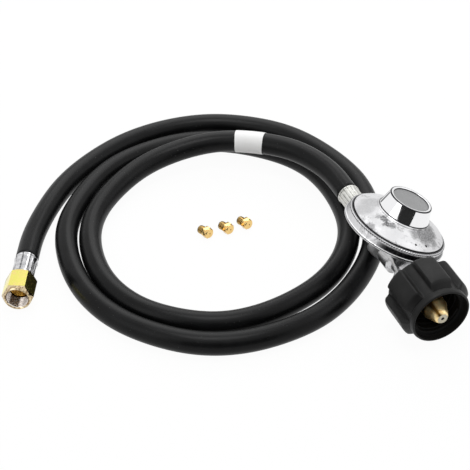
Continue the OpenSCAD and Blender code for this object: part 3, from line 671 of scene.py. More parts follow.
class Finishes(Enum):
    """The finishes of the object, each made once."""

    # Its hollow is painted shade inside the nut.
    BLACK_PLASTIC = Moulded(
        "black_plastic", grey(0.011), grey(0.018), (0.36, 0.5),
        grain=0.3, relief=0.03, level=0.16, hollow=19.45,
    )
    BUSHING_PLASTIC = Moulded("bushing_plastic", (0.03, 0.03, 0.032), (0.05, 0.05, 0.052), (0.4, 0.55))
    # Its hollow is painted shade in the tip's small hole.
    PALE_INSERT = Moulded(
        "pale_insert", (0.84, 0.77, 0.58), (0.9, 0.85, 0.72), (0.25, 0.4), grain=0.5, relief=0.01, hollow=1.1,
    )
    GREY_CAP = Moulded("grey_cap", (0.33, 0.332, 0.335), (0.37, 0.372, 0.376), (0.5, 0.62), level=0.2)
    DIAPHRAGM_RUBBER = Moulded("diaphragm_rubber", grey(0.03), grey(0.05), (0.5, 0.7), grain=0.8, relief=0.05)
    HOSE_RUBBER = HoseRubber()
    LABEL_PAPER = LabelPaper()
    # Its streaks are painted dark reflections on the tower.
    CAST_ZINC = CastZinc(reflection_streaks=((142.0, 146.0), (151.0, 158.0)))
    # The pan's edge lines are painted shade; its front wall has a painted dark reflection.
    BODY_ZINC = CastZinc(
        "body_zinc", rounding=0.45, edges=((35.5, BEYOND, 11.9, 12.3), (35.9, BEYOND, 16.75, 17.2)),
        painted_wall_reflections=((34.5, 12.9, 15.9, -27.0, 1.0), ),
    )
    # Its dark edge lines are painted shade.
    RIM_STEEL = CastZinc(
        "rim_steel", (0.46, 0.46, 0.47), shadow=grey(0.2), edge=(0.075, 0.075, 0.078), polish_from=99.0,
        reflection_spots=(), edges=((33.0, 34.75, 17.0, 19.0), (35.5, 36.5, 17.0, 17.7)),
    )
    # Its dark strip between 136 and 163 degrees is a painted reflection.
    BRASS_NOSE = Metal(
        "brass_nose", (0.98, 0.78, 0.42), (0.85, 0.5, 0.16), gloss=(0.34, 0.46),
        patch=3.0, patch_edges=(0.45, 0.7), grain=1.6, relief=0.008,
        turned=Site.INLET.value, dark=(0.16, 0.08, 0.015), reflection_strip=(136.0, 163.0),
    )
    PALE_BRASS = Metal(
        "pale_brass", (0.83, 0.65, 0.36), (0.52, 0.31, 0.10), gloss=(0.2, 0.34),
        patch=3.0, patch_edges=(0.5, 0.8), grain=0.4, relief=0.01, rounding=0.15,
    )
    NUT_BRASS = NutBrass()
    FLARE_SEAT = Metal(
        "flare_seat_brass", (0.72, 0.42, 0.08), (0.3, 0.15, 0.02), gloss=(0.14, 0.3),
        patch=3.0, patch_edges=(0.4, 0.65), grain=0.4, relief=0.01, turned=Site.FLARE.value, rounding=0.2,
    )
    SPRING_STEEL = Metal(
        "spring_steel", (0.74, 0.74, 0.76), STEEL_DARK, gloss=(0.2, 0.34),
        patch=2.0, patch_edges=(0.5, 0.8), grain=0.4, relief=0.01,
    )
    PLATED_STEEL = Metal(
        "plated_steel", (0.8, 0.8, 0.81), STEEL_DARK, gloss=(0.16, 0.32),
        patch=4.0, patch_edges=(0.5, 0.8), grain=0.4, relief=0.015, rounding=0.15,
    )
    # Its dark lines are painted shade in the crimp's grooves.
    SATIN_FERRULE = Metal(
        "satin_ferrule", (0.66, 0.66, 0.63), (0.5, 0.5, 0.47), gloss=(0.3, 0.44),
        patch=5.0, patch_edges=(0.45, 0.8), grain=0.35, relief=0.02,
        turned=Site.OUTLET.value, ring_pitch=0.25, dark=(0.2, 0.2, 0.18), ridges=18,
    )
    # Its dark lines are painted shade in the crimp's grooves.
    BRIGHT_FERRULE = Metal(
        "bright_ferrule", (0.68, 0.68, 0.69), (0.36, 0.36, 0.38), gloss=(0.1, 0.24),
        patch=4.0, patch_edges=(0.42, 0.66), grain=0.35, relief=0.02,
        turned=Site.FLARE.value, ring_pitch=0.25, dark=(0.06, 0.06, 0.065), ridges=9,
    )

    def material(self) -> bpy.types.Material:
        """The finish's material, made at its first use."""
        return bpy.data.materials.get(self.value.name + ".") or self._make()

    def _make(self) -> bpy.types.Material:
        """Makes the material under a name that the loaded model doesn't use.

        Returns:
            The material.
        """
        material = self.value.build()
        material.name = self.value.name + "."
        return material


# ---- Modelling ----


def polar(co: Vector) -> tuple[float, float]:
    """Distance of a point from z, and its angle about z in degrees."""
    return math.hypot(co.x, co.y), math.degrees(math.atan2(co.y, co.x))


def in_lobe(angle: float, centre: float, count: int) -> float:
    """Degrees from an angle to the nearest of count evenly spaced directions."""
    pitch = 360.0 / count
    return abs((angle - centre + pitch / 2) % pitch - pitch / 2)


def eased(points: Sequence[Point], rounds: int, hard: Sequence[int] = ()) -> list[Point]:
    """A profile with its corners cut, round after round.

    Args:
        points: The profile's points.
        rounds: Number of rounds.
        hard: Numbers of the points that stay as they are.

    Returns:
        The smoother profile. Its two ends stay.
    """
    marked = [(p, i in hard) for i, p in enumerate(points)]
    for _ in range(rounds):
        cut = [marked[0]]
        for i in range(1, len(marked) - 1):
            p, fixed = marked[i]
            if fixed:
                cut.append(marked[i])
                continue
            for q in (marked[i - 1][0], marked[i + 1][0]):
                cut.append(((p[0] * 0.75 + q[0] * 0.25, p[1] * 0.75 + q[1] * 0.25), False))
        marked = cut + [marked[-1]]
    return [p for p, _ in marked]


def deselect() -> None:
    """Leaves edit mode and deselects everything."""
    if bpy.context.object and bpy.context.object.mode != "OBJECT":
        bpy.ops.object.mode_set(mode="OBJECT")
    for other in bpy.context.view_layer.objects:
        other.select_set(False)


class Bench:
    """One piece on the bench, shaped in edit mode in its own frame, in millimetres."""

    weld = 0.004  # Points nearer to each other than this become one.

    def __init__(self, name: str) -> None:
        """Adds a small plate alone and keeps one point of it.

        Args:
            name: The piece's name.
        """
        deselect()
        bpy.ops.mesh.primitive_plane_add(size=1.0, location=(0, 0, 0))
        self.piece = bpy.context.object
        self.piece.name = self.piece.data.name = name
        bpy.context.tool_settings.mesh_select_mode = POINTS
        bpy.ops.object.mode_set(mode="EDIT")
        bpy.ops.mesh.select_all(action="SELECT")
        bpy.ops.mesh.merge(type="CENTER")

    def draw(self, spots: Sequence[Vector]) -> None:
        """Draws a line from point to point.

        Args:
            spots: The line's points.
        """
        bpy.ops.transform.translate(value=spots[0])
        for before, after in zip(spots, spots[1:]):
            bpy.ops.mesh.extrude_region_move(TRANSFORM_OT_translate={"value": after - before})
        bpy.ops.mesh.select_all(action="SELECT")

    def turn(self, profile: Sequence[Point], steps: int, phase: float = 0.0, closed: bool = True) -> "Bench":
        """Draws a profile and spins it round z.

        Args:
            profile: Radius and height of each point.
            steps: Number of steps in the full turn.
            phase: Angle of the first column, in degrees.
            closed: Whether the profile runs back to its first point.

        Returns:
            This bench.
        """
        lean = (math.cos(math.radians(phase)), math.sin(math.radians(phase)))
        path = list(profile) + ([profile[0]] if closed else [])
        self.draw([Vector((r * lean[0], r * lean[1], z)) for r, z in path])
        bpy.ops.mesh.spin(steps=steps, dupli=False, angle=math.tau, center=(0, 0, 0), axis=(0, 0, 1))
        bpy.ops.mesh.select_all(action="SELECT")
        bpy.ops.mesh.remove_doubles(threshold=self.weld)
        bpy.ops.mesh.normals_make_consistent(inside=False)
        return self

    def pick(self, test: Callable[[Vector], bool]) -> int:
        """Selects the points that pass a test.

        Args:
            test: Takes a point's place and says whether it is wanted.

        Returns:
            The number of points selected.
        """
        bpy.context.tool_settings.mesh_select_mode = POINTS
        bpy.ops.mesh.select_all(action="DESELECT")
        mesh = bmesh.from_edit_mesh(self.piece.data)
        wanted = [vertex for vertex in mesh.verts if test(vertex.co)]
        for vertex in wanted:
            vertex.select_set(True)
        mesh.select_flush(True)
        bmesh.update_edit_mesh(self.piece.data)
        return len(wanted)

    def swell(self, factor: float) -> None:
        """Moves the selected points outwards from z by a factor."""
        bpy.ops.transform.resize(value=(factor, factor, 1.0), center_override=(0, 0, 0))

    def leave(self) -> Piece:
        """Ends edit mode and hands over the piece."""
        bpy.ops.object.mode_set(mode="OBJECT")
        return self.piece


class Shop:
    """Work on finished forms: rounding, placing, dressing and joining."""

    merge = 0.002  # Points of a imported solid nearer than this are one, in millimetres.
    level = 0.15  # Its facets that lie within this angle of each other are one, in degrees.

    @staticmethod
    def only(*pieces: Piece) -> None:
        """Selects these pieces alone, the first of them active."""
        deselect()
        for piece in pieces:
            piece.select_set(True)
        bpy.context.view_layer.objects.active = pieces[0]

    @classmethod
    def form(cls, name: str, points: np.ndarray, faces: Sequence[Sequence[int]]) -> Piece:
        """Makes a piece from points and faces, and turns its faces outwards.

        Args:
            name: The piece's name.
            points: The piece's points.
            faces: The points of each face.

        Returns:
            The piece.
        """
        mesh = bpy.data.meshes.new(name)
        mesh.from_pydata(points.tolist(), [], faces)
        mesh.update()
        piece = bpy.data.objects.new(name, mesh)
        bpy.context.scene.collection.objects.link(piece)
        cls.outwards(piece)
        return piece

    @classmethod
    def outwards(cls, piece: Piece) -> None:
        """Turns a piece's faces outwards.

        Args:
            piece: The piece, whose walls are closed.
        """
        cls.only(piece)
        bpy.ops.object.mode_set(mode="EDIT")
        bpy.ops.mesh.select_all(action="SELECT")
        bpy.ops.mesh.normals_make_consistent(inside=False)
        bpy.ops.object.mode_set(mode="OBJECT")

    @staticmethod
    def stock(node: str, name: str, site: Matrix) -> Piece:
        """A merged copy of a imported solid, in the frame of its sub-assembly.

        Args:
            node: The solid's node.
            name: Name for the copy.
            site: Frame to bring the copy into.

        Returns:
            The copy, in millimetres.
        """
        copy = bpy.data.objects.new(name, frame["nodes"][node].data.copy())
        copy.data.name = name
        bpy.context.scene.collection.objects.link(copy)
        copy.data.transform(site.inverted())
        Shop.only(copy)
        bpy.context.tool_settings.mesh_select_mode = POINTS
        bpy.ops.object.mode_set(mode="EDIT")
        bpy.ops.mesh.select_all(action="SELECT")
        bpy.ops.mesh.remove_doubles(threshold=Shop.merge)
        bpy.ops.mesh.customdata_custom_splitnormals_clear()
        bpy.ops.mesh.dissolve_limited(angle_limit=math.radians(Shop.level))
        bpy.ops.object.mode_set(mode="OBJECT")
        return copy

    @classmethod
    def apply(cls, piece: Piece, kind: str, **values: object) -> None:
        """Adds a modifier to a piece and applies it.

        Args:
            piece: The piece.
            kind: The modifier's type.
            **values: The modifier's settings.
        """
        modifier = piece.modifiers.new(kind.title(), kind)
        for key, value in values.items():
            setattr(modifier, key, value)
        cls.only(piece)
        bpy.ops.object.modifier_apply(modifier=modifier.name)

    @classmethod
    def rounded(cls, piece: Piece, width: float, angle: float = 24.0, segments: int = 2) -> None:
        """Rounds the edges that are sharper than an angle.

        Args:
            piece: The piece, in millimetres.
            width: Width of the rounding.
            angle: Least angle between two faces, in degrees.
            segments: Facets across the rounding.
        """
        cls.apply(
            piece, "BEVEL", width=width, segments=segments, limit_method="ANGLE",
            angle_limit=math.radians(angle), use_clamp_overlap=True, miter_outer="MITER_ARC",
        )

    @classmethod
    def join(cls, first: Piece, *others: Piece) -> None:
        """Joins pieces into the first of them."""
        cls.only(first, *others)
        bpy.ops.object.join()

    @classmethod
    def settle(cls, piece: Piece, site: Matrix, material: bpy.types.Material, smooth: float) -> None:
        """Sets a piece in the shared frame and gives it its material.

        Args:
            piece: The piece, modelled in millimetres.
            site: Frame that it was modelled in.
            material: Its material.
            smooth: Angle up to which its edges are shaded smooth, in degrees.
        """
        cls.only(piece)
        piece.matrix_world = site
        bpy.ops.object.transform_apply(location=True, rotation=True, scale=True)
        bpy.ops.object.shade_smooth_by_angle(angle=math.radians(smooth))
        piece.data.materials.clear()
        piece.data.materials.append(material)

    @staticmethod
    def enter(piece: Piece, node: str, slot: str, body: str | None = "regulator") -> None:
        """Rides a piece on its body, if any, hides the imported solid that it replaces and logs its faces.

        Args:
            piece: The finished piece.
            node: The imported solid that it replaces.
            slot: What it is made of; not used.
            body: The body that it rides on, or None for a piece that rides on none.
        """
        if body is not None:
            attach(piece, body)
        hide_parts(node)
        log.info("%s: %d faces", piece.name, len(piece.data.polygons))

    @staticmethod
    def flex(piece: Piece, bodies: tuple[str, str], site: Matrix, reach: Range, radial: bool = False) -> None:
        """Bakes a soft piece's place into its points; it follows no body.

        Args:
            piece: The finished piece, in the shared frame.
            bodies: The bodies that the near side and the far side follow; not used.
            site: Frame that the reach is measured in; not used.
            reach: Where the near side ends and where the far side starts, in millimetres; not used.
            radial: Measures the reach outward from the frame's z, not along it; not used.
        """
        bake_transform(piece)


@dataclass
class Thread:
    """A ridge that winds round z, inside a bore or outside a shank."""

    radius: float
    height: float
    pitch: float
    start: float
    end: float
    base: float
    inside: bool
    steps: int
    foot: float = 0.1

    def build(self, name: str) -> Piece:
        """Winds the ridge's section round z with a screw modifier.

        Args:
            name: The piece's name.

        Returns:
            The ridge, in its sub-assembly's frame.
        """
        sign = -1.0 if self.inside else 1.0
        turns = (self.end - self.start) / self.pitch
        half, top = self.base / 2, self.base * 0.2
        foot, crest = self.radius - sign * self.foot, self.radius + sign * self.height
        section = [
            (foot, -half), (self.radius, -half), (crest, -top),
            (crest, top), (self.radius, half), (foot, half),
        ]
        bench = Bench(name)
        bench.draw([Vector((r, 0, z + self.start)) for r, z in section])
        bpy.ops.mesh.edge_face_add()
        bpy.ops.mesh.delete(type="ONLY_FACE")
        piece = bench.leave()
        steps = int(self.steps * turns)
        Shop.apply(
            piece, "SCREW", axis="Z", angle=math.tau * turns, screw_offset=self.end - self.start, steps=steps,
            render_steps=steps, use_merge_vertices=True, merge_threshold=0.001, use_smooth_shade=False,
        )
        Shop.only(piece)
        bpy.ops.object.mode_set(mode="EDIT")
        bpy.ops.mesh.select_all(action="DESELECT")
        bpy.context.tool_settings.mesh_select_mode = EDGES
        bpy.ops.mesh.select_non_manifold(extend=False)
        bpy.ops.mesh.fill_holes(sides=8)
        bpy.ops.object.mode_set(mode="OBJECT")
        Shop.outwards(piece)
        return piece


# ---- Hose ----


def unit(vectors: np.ndarray) -> np.ndarray:
    """Vectors brought to a length of one."""
    return vectors / np.linalg.norm(vectors, axis=1)[:, None]


def directions(line: np.ndarray) -> tuple[np.ndarray, np.ndarray, np.ndarray]:
    """Heading, level side and upper side at each point of a line.

    Args:
        line: The line's points.

    Returns:
        Three arrays of directions.
    """
    heading = unit(np.gradient(line, axis=0))
    across = unit(np.cross(heading, [0.0, 0.0, 1.0]))
    return heading, across, np.cross(across, heading)


def rings(first: np.ndarray, second: np.ndarray, sides: int) -> np.ndarray:
    """Directions all round each point of a line, from two directions that are square to it."""
    angle = np.arange(sides) * math.tau / sides
    return first[:, None] * np.cos(angle)[None, :, None] + second[:, None] * np.sin(angle)[None, :, None]


def run_of(line: np.ndarray) -> np.ndarray:
    """Distance along a line at each of its points."""
    return np.concatenate([[0.0], np.cumsum(np.linalg.norm(np.diff(line, axis=0), axis=1))])


def at_stations(line: np.ndarray, stations: np.ndarray) -> np.ndarray:
    """Points at given distances along a line."""
    return np.stack([np.interp(stations, run_of(line), line[:, k]) for k in range(3)], axis=1)


@dataclass
class Hose:
    """The supply hose, on one smooth line from the flare fitting to the regulator."""

    radius: float = 8.0
    bore: float = 4.0
    crimped: float = 6.5
    shoulder: float = 7.6
    shoulder_at: tuple[float, ...] = (0.1, 0.9, 2.2)
    held: float = 18.0
    lead: float = 18.0
    span: float = 42.0
    sides: int = 32
    steps: int = 14
    end_steps: int = 14
    softening: int = 6
    free_length: float = 1658.0
    flare_mouth: Spot = (-197.0, 91.0, 9.5)
    outlet_mouth: Spot = (33.0, 54.5, 25.0)
    flare_turn: float = -25.0
    flare_rise: float = 3.0
    route: tuple[Spot, ...] = (
        (-162, 147, 8), (-132, 174, 8), (-91, 194, 8), (-50, 199, 8), (-11, 190, 8), (25, 164, 8),
        (45, 130, 8), (55, 86, 8), (48, 46, 8), (31, 10, 8), (-2, -21, 8), (-39, -38, 8), (-84, -40, 8),
        (-121, -26, 8), (-152.2, 5.3, 8), (-167.8, 42, 8), (-168.8, 83, 8), (-156.5, 121.5, 8),
        (-125, 157, 8), (-91, 175, 8), (-47, 178, 8), (-10, 163, 8), (22, 131, 8), (34, 94, 8),
        (29.7, 47.4, 8), (10.6, 13.2, 8), (-21.8, -10.5, 8), (-66, -21, 8), (-104, -14, 8),
        (-138, 14, 8), (-153, 52, 8), (-149, 96, 8), (-129, 130, 9), (-91, 155, 12.5),
        (-52, 160, 17), (-17, 149, 21.5), (19, 117, 24.5),
    )

    def line(self) -> np.ndarray:
        """Points every few millimetres along the hose, the held ends included.

        Returns:
            An array of points in millimetres, from the flare fitting on.
        """
        turn, rise = math.radians(self.flare_turn), math.radians(self.flare_rise)
        out = np.array([-math.sin(turn) * math.cos(rise), math.cos(turn) * math.cos(rise), -math.sin(rise)])
        ahead = np.array([0.0, 1.0, 0.0])
        start, end = np.array(self.flare_mouth), np.array(self.outlet_mouth)
        route = np.array(self.route, float)
        guided = np.vstack([
            route[0] - out * 2 * self.span, start + out * self.lead, route,
            end + ahead * self.lead, route[-1] - ahead * 2 * self.span,
        ])
        free = []
        for a, b, c, d in zip(guided, guided[1:], guided[2:], guided[3:]):
            for k in range(self.steps):
                t = k / self.steps
                free.append((2 * b + (c - a) * t + (2 * a - 5 * b + 4 * c - d) * t * t
                             + (3 * b - a - 3 * c + d) * t ** 3) / 2)
        free.append(guided[-2])
        ends = np.linspace(-self.held, self.lead, self.end_steps + 1)[:-1]
        whole = np.vstack([
            [start + out * d for d in ends], free, [end + ahead * d for d in ends[::-1]],
        ])
        for _ in range(self.softening):
            whole[1:-1] = (whole[:-2] + 2 * whole[1:-1] + whole[2:]) / 4
        return whole

    def tube(self, name: str, line: np.ndarray, radii: np.ndarray) -> Piece:
        """A hollow tube along a line, with a UV map in metres along it and round it.

        Args:
            name: The piece's name.
            line: Points in millimetres.
            radii: Outer radius at each point.

        Returns:
            The tube, in the shared frame.
        """
        n, sides = len(line), self.sides
        _, across, up = directions(line)
        ring = rings(across, up, sides)
        outer = line[:, None] + ring * radii[:, None, None]
        inner = line[:, None] + ring * self.bore
        faces = []
        for i in range(n - 1):
            for k in range(sides):
                m = (k + 1) % sides
                faces.append((i * sides + k, i * sides + m, (i + 1) * sides + m, (i + 1) * sides + k))
        shift = n * sides
        faces += [(a + shift, d + shift, c + shift, b + shift) for a, b, c, d in faces]
        last = (n - 1) * sides
        for k in range(sides):
            m = (k + 1) % sides
            faces.append((k, shift + k, shift + m, m))
            faces.append((last + k, last + m, shift + last + m, shift + last + k))
        piece = Shop.form(name, np.vstack([outer.reshape(-1, 3), inner.reshape(-1, 3)]) * MM, faces)
        lengths, girth = run_of(line) * MM, math.tau * self.radius * MM
        mesh = piece.data
        layer = mesh.uv_layers.new(name=HOSE_MAP)
        for polygon in mesh.polygons:
            corners = [mesh.loops[j].vertex_index for j in polygon.loop_indices]
            columns = [v % sides for v in corners]
            seam = max(columns) - min(columns) > 1
            for j, v, column in zip(polygon.loop_indices, corners, columns):
                round_it = sides if seam and column == 0 else column
                layer.data[j].uv = (lengths[(v % shift) // sides], round_it / sides * girth)
        bpy.ops.object.shade_smooth_by_angle(angle=math.radians(40))
        return piece

    def build(self) -> tuple[Piece, np.ndarray]:
        """Makes the hose, narrow where the ferrules hold it.

        Returns:
            The hose and its line.
        """
        line = self.line()
        run = run_of(line)
        extra = [self.held + near for near in self.shoulder_at]
        extra += [run[-1] - far for far in extra]
        stations = np.sort(np.concatenate([run, extra]))
        line = at_stations(line, stations)
        from_end = np.minimum(stations, stations[-1] - stations) - self.held
        radii = np.interp(from_end, self.shoulder_at, [self.crimped, self.shoulder, self.radius])
        piece = self.tube("supply_hose", line, radii)
        piece.data.materials.append(Finishes.HOSE_RUBBER.material())
        Shop.enter(piece, "hose", "hose_rubber")
        return piece, line


@dataclass
class Label:
    """The paper label: a sleeve that laps over itself along one side."""

    middle: Spot = (-7.3, 141.9, 22.4)
    half: float = 11.0
    wall: float = 0.28
    radius: float = Hose.radius + 0.06
    first: float = 200.0
    lap: float = 38.0
    lift: float = 0.42
    lift_before: float = 0.25
    lift_over: float = 0.9
    lift_power: float = 0.7
    ripple: float = 0.03
    ripples: int = 5
    ripple_twist: float = 0.5
    ragged: float = 0.18
    ragged_waves: int = 3
    rows: int = 23
    columns: int = 56

    def build(self, line: np.ndarray) -> Piece:
        """Wraps the label round the hose.

        Args:
            line: The hose's line.

        Returns:
            The label.
        """
        near = int(np.argmin(np.linalg.norm(line - np.array(self.middle), axis=1)))
        place = run_of(line)[near]
        part = at_stations(line, np.linspace(place - self.half, place + self.half, self.rows))
        heading, across, up = directions(part)
        start, turn = math.radians(self.first), math.tau + math.radians(self.lap)
        points, faces = [], []
        for i in range(self.rows):
            for k in range(self.columns + 1):
                share = k / self.columns
                angle = start + turn * share
                lapped = max(0.0, (share * turn - math.tau + self.lift_before) / self.lift_over)
                ripple = self.ripple * abs(math.sin(angle * self.ripples + i * self.ripple_twist))
                direction = across[i] * math.cos(angle) + up[i] * math.sin(angle)
                edge = self.ragged * math.sin(angle * self.ragged_waves) if i in (0, self.rows - 1) else 0.0
                away = self.radius + self.lift * lapped ** self.lift_power + ripple
                points.append(part[i] + direction * away + heading[i] * edge)
        for i in range(self.rows - 1):
            for k in range(self.columns):
                a = i * (self.columns + 1) + k
                faces.append((a, a + 1, a + self.columns + 2, a + self.columns + 1))
        piece = Shop.form("hose_label_sleeve", np.array(points) * MM, faces)
        centre = Vector(part.mean(axis=0)) * MM
        if sum((face.center - centre).dot(face.normal) for face in piece.data.polygons) < 0:
            piece.data.flip_normals()
        Shop.apply(piece, "SOLIDIFY", thickness=self.wall * MM, offset=1.0)
        bpy.ops.object.shade_smooth_by_angle(angle=math.radians(40))
        piece.data.materials.append(Finishes.LABEL_PAPER.material())
        Shop.enter(piece, "hose_label", "label_paper")
        return piece


# ---- Coupling nut and inlet ----


@dataclass
class CouplingNut:
    """The hand-turned nut, with six grip lobes and a coarse inside thread."""

    back: float = 42.5
    mouth: float = 78.5
    shell: float = 20.6
    crest: float = 25.0
    bore: float = 16.65
    lead_in: float = 19.4
    neck: float = 9.06
    floor: float = 49.5
    lobes: int = 6
    first_lobe: float = 50.0
    columns: int = 240
    rows: tuple[float, ...] = (44.0, 45.2, 46.6, 48.0, 53.0, 58.0, 63.0, 68.6, 69.6, 71.0, 72.4)
    lobe_ends: Range = (43.2, 73.4)
    near: float = 0.02
    least_share: float = 0.001
    like_share: float = 0.0006

    def rise(self, z: float) -> float:
        """Share of a lobe's height at a distance along the nut.

        Args:
            z: The distance along the axis.

        Returns:
            The share, from 0 to 1.
        """
        low, high = self.lobe_ends
        places = (low, 44.0, 45.2, 46.6, 48.0, 68.6, 69.6, 71.0, 72.4, high)
        return float(np.interp(z, places, (0.0, 0.3, 0.78, 0.98, 1.0, 1.0, 0.93, 0.62, 0.22, 0.0)))

    def swing(self, off: float) -> float:
        """Share of a lobe's height at an angle off its middle, in degrees."""
        return float(np.interp(off, (16.0, 17.6, 19.2, 20.8, 22.2), (1.0, 0.95, 0.55, 0.08, 0.0)))

    def share(self, angle: float, z: float) -> float:
        """Share of a lobe's height at an angle about the axis, in degrees, and a distance along it."""
        off = round(in_lobe(angle, self.first_lobe, self.lobes), 3)
        return self.rise(z) * self.swing(off)

    def profile(self) -> list[Point]:
        """The shell's outline, from the neck over the outside to the bore.

        Returns:
            Radius and height of each point.
        """
        low, high = self.lobe_ends
        outer = [(self.neck, self.back), (17.4, self.back), (19.4, 42.9), (self.shell - 0.1, low)]
        outer += [(self.shell, z) for z in (*self.rows, high)]
        outer += [(21.0, 74.0), (21.05, 76.9), (20.7, 78.0), (20.1, self.mouth)]
        return outer + [
            (19.9, self.mouth), (19.5, 78.2), (self.lead_in, 77.7), (self.lead_in, 74.2), (19.1, 73.7),
            (17.3, 73.5), (self.bore, 72.9), (self.bore, self.floor), (self.neck, self.floor),
        ]

    def rises(self, co: Vector, share: float, heights: set[float]) -> bool:
        """Whether a point of the shell rises by this share of a lobe's height.

        Args:
            co: The point.
            share: The share.
            heights: Rows in which some point rises by that share.

        Returns:
            Whether the point is one of them.
        """
        radius, angle = polar(co)
        in_row = any(abs(co.z - z) < self.near for z in heights)
        if abs(radius - self.shell) > self.near or not in_row:
            return False
        return abs(self.share(angle, round(co.z, 2)) - share) < self.like_share

    def build(self) -> None:
        """Turns the shell, raises the lobes a share at a time and winds the thread."""
        step = 360 / self.columns
        bench = Bench("grip_nut").turn(self.profile(), self.columns, 0.5 * step)
        raised: dict[float, set[float]] = {}
        for z in self.rows:
            for k in range(self.columns):
                share = round(self.share((k + 0.5) * step, z), 4)
                if share > self.least_share:
                    raised.setdefault(share, set()).add(z)
        for share, heights in raised.items():
            if bench.pick(lambda co: self.rises(co, share, heights)):
                bench.swell(1.0 + (self.crest - self.shell) * share / self.shell)
        piece = bench.leave()
        thread = Thread(
            self.bore + 0.05, height=0.85, pitch=5.08, start=51.0, end=71.5,
            base=1.5, inside=True, steps=96,
        )
        Shop.join(piece, thread.build("grip_nut_thread"))
        Shop.settle(piece, Site.INLET.value, Finishes.BLACK_PLASTIC.material(), smooth=32)
        Shop.enter(piece, "coupling_nut", "black_plastic", body="coupling_nut")


@dataclass
class Inlet:
    """The brass nipple with its nose, and the pale insert in its tip."""

    neck: float = 9.0
    shank: float = 8.5
    back: float = 30.0
    passage: float = 2.2
    chamber: float = 3.0
    seat: float = 62.4
    shank_end: float = 68.6

    def nipple(self) -> None:
        """Turns the nipple, hollow as the real one."""
        outside = [
            (self.passage, self.back), (6.0, self.back), (6.8, 30.8), (6.8, 41.0), (self.neck, 41.0),
            (self.neck, 52.3), (13.1, 52.3), (13.5, 52.7), (13.5, 54.9), (13.1, 55.3), (self.neck, 55.3),
            (self.shank, 55.8), (self.shank, self.shank_end),
        ]
        nose = eased([
            (self.shank, self.shank_end), (self.shank, 70.2), (7.3, 72.4), (5.1, 78.3), (4.3, 79.35),
            (3.75, 79.75),
        ], rounds=2, hard=(4,))
        inside = [(3.55, 79.9), (self.chamber, 79.9), (self.chamber, self.seat), (self.passage, self.seat)]
        piece = Bench("inlet_nose_piece").turn(outside + nose[1:] + inside, 96).leave()
        Shop.settle(piece, Site.INLET.value, Finishes.BRASS_NOSE.material(), smooth=30)
        Shop.enter(piece, "inlet_nipple", "brass")

    def insert(self) -> None:
        """Turns the insert, with its small hole."""
        profile = [
            (0.9, 75.0), (2.94, 75.0), (2.94, 79.98), (3.5, 80.0), (3.6, 80.1), (3.45, 80.28), (1.9, 80.3),
            (1.2, 80.1), (0.9, 79.6),
        ]
        piece = Bench("tip_insert").turn(profile, 64).leave()
        Shop.settle(piece, Site.INLET.value, Finishes.PALE_INSERT.material(), smooth=30)
        Shop.enter(piece, "nose_insert", "bushing_plastic")


# ---- Regulator ----


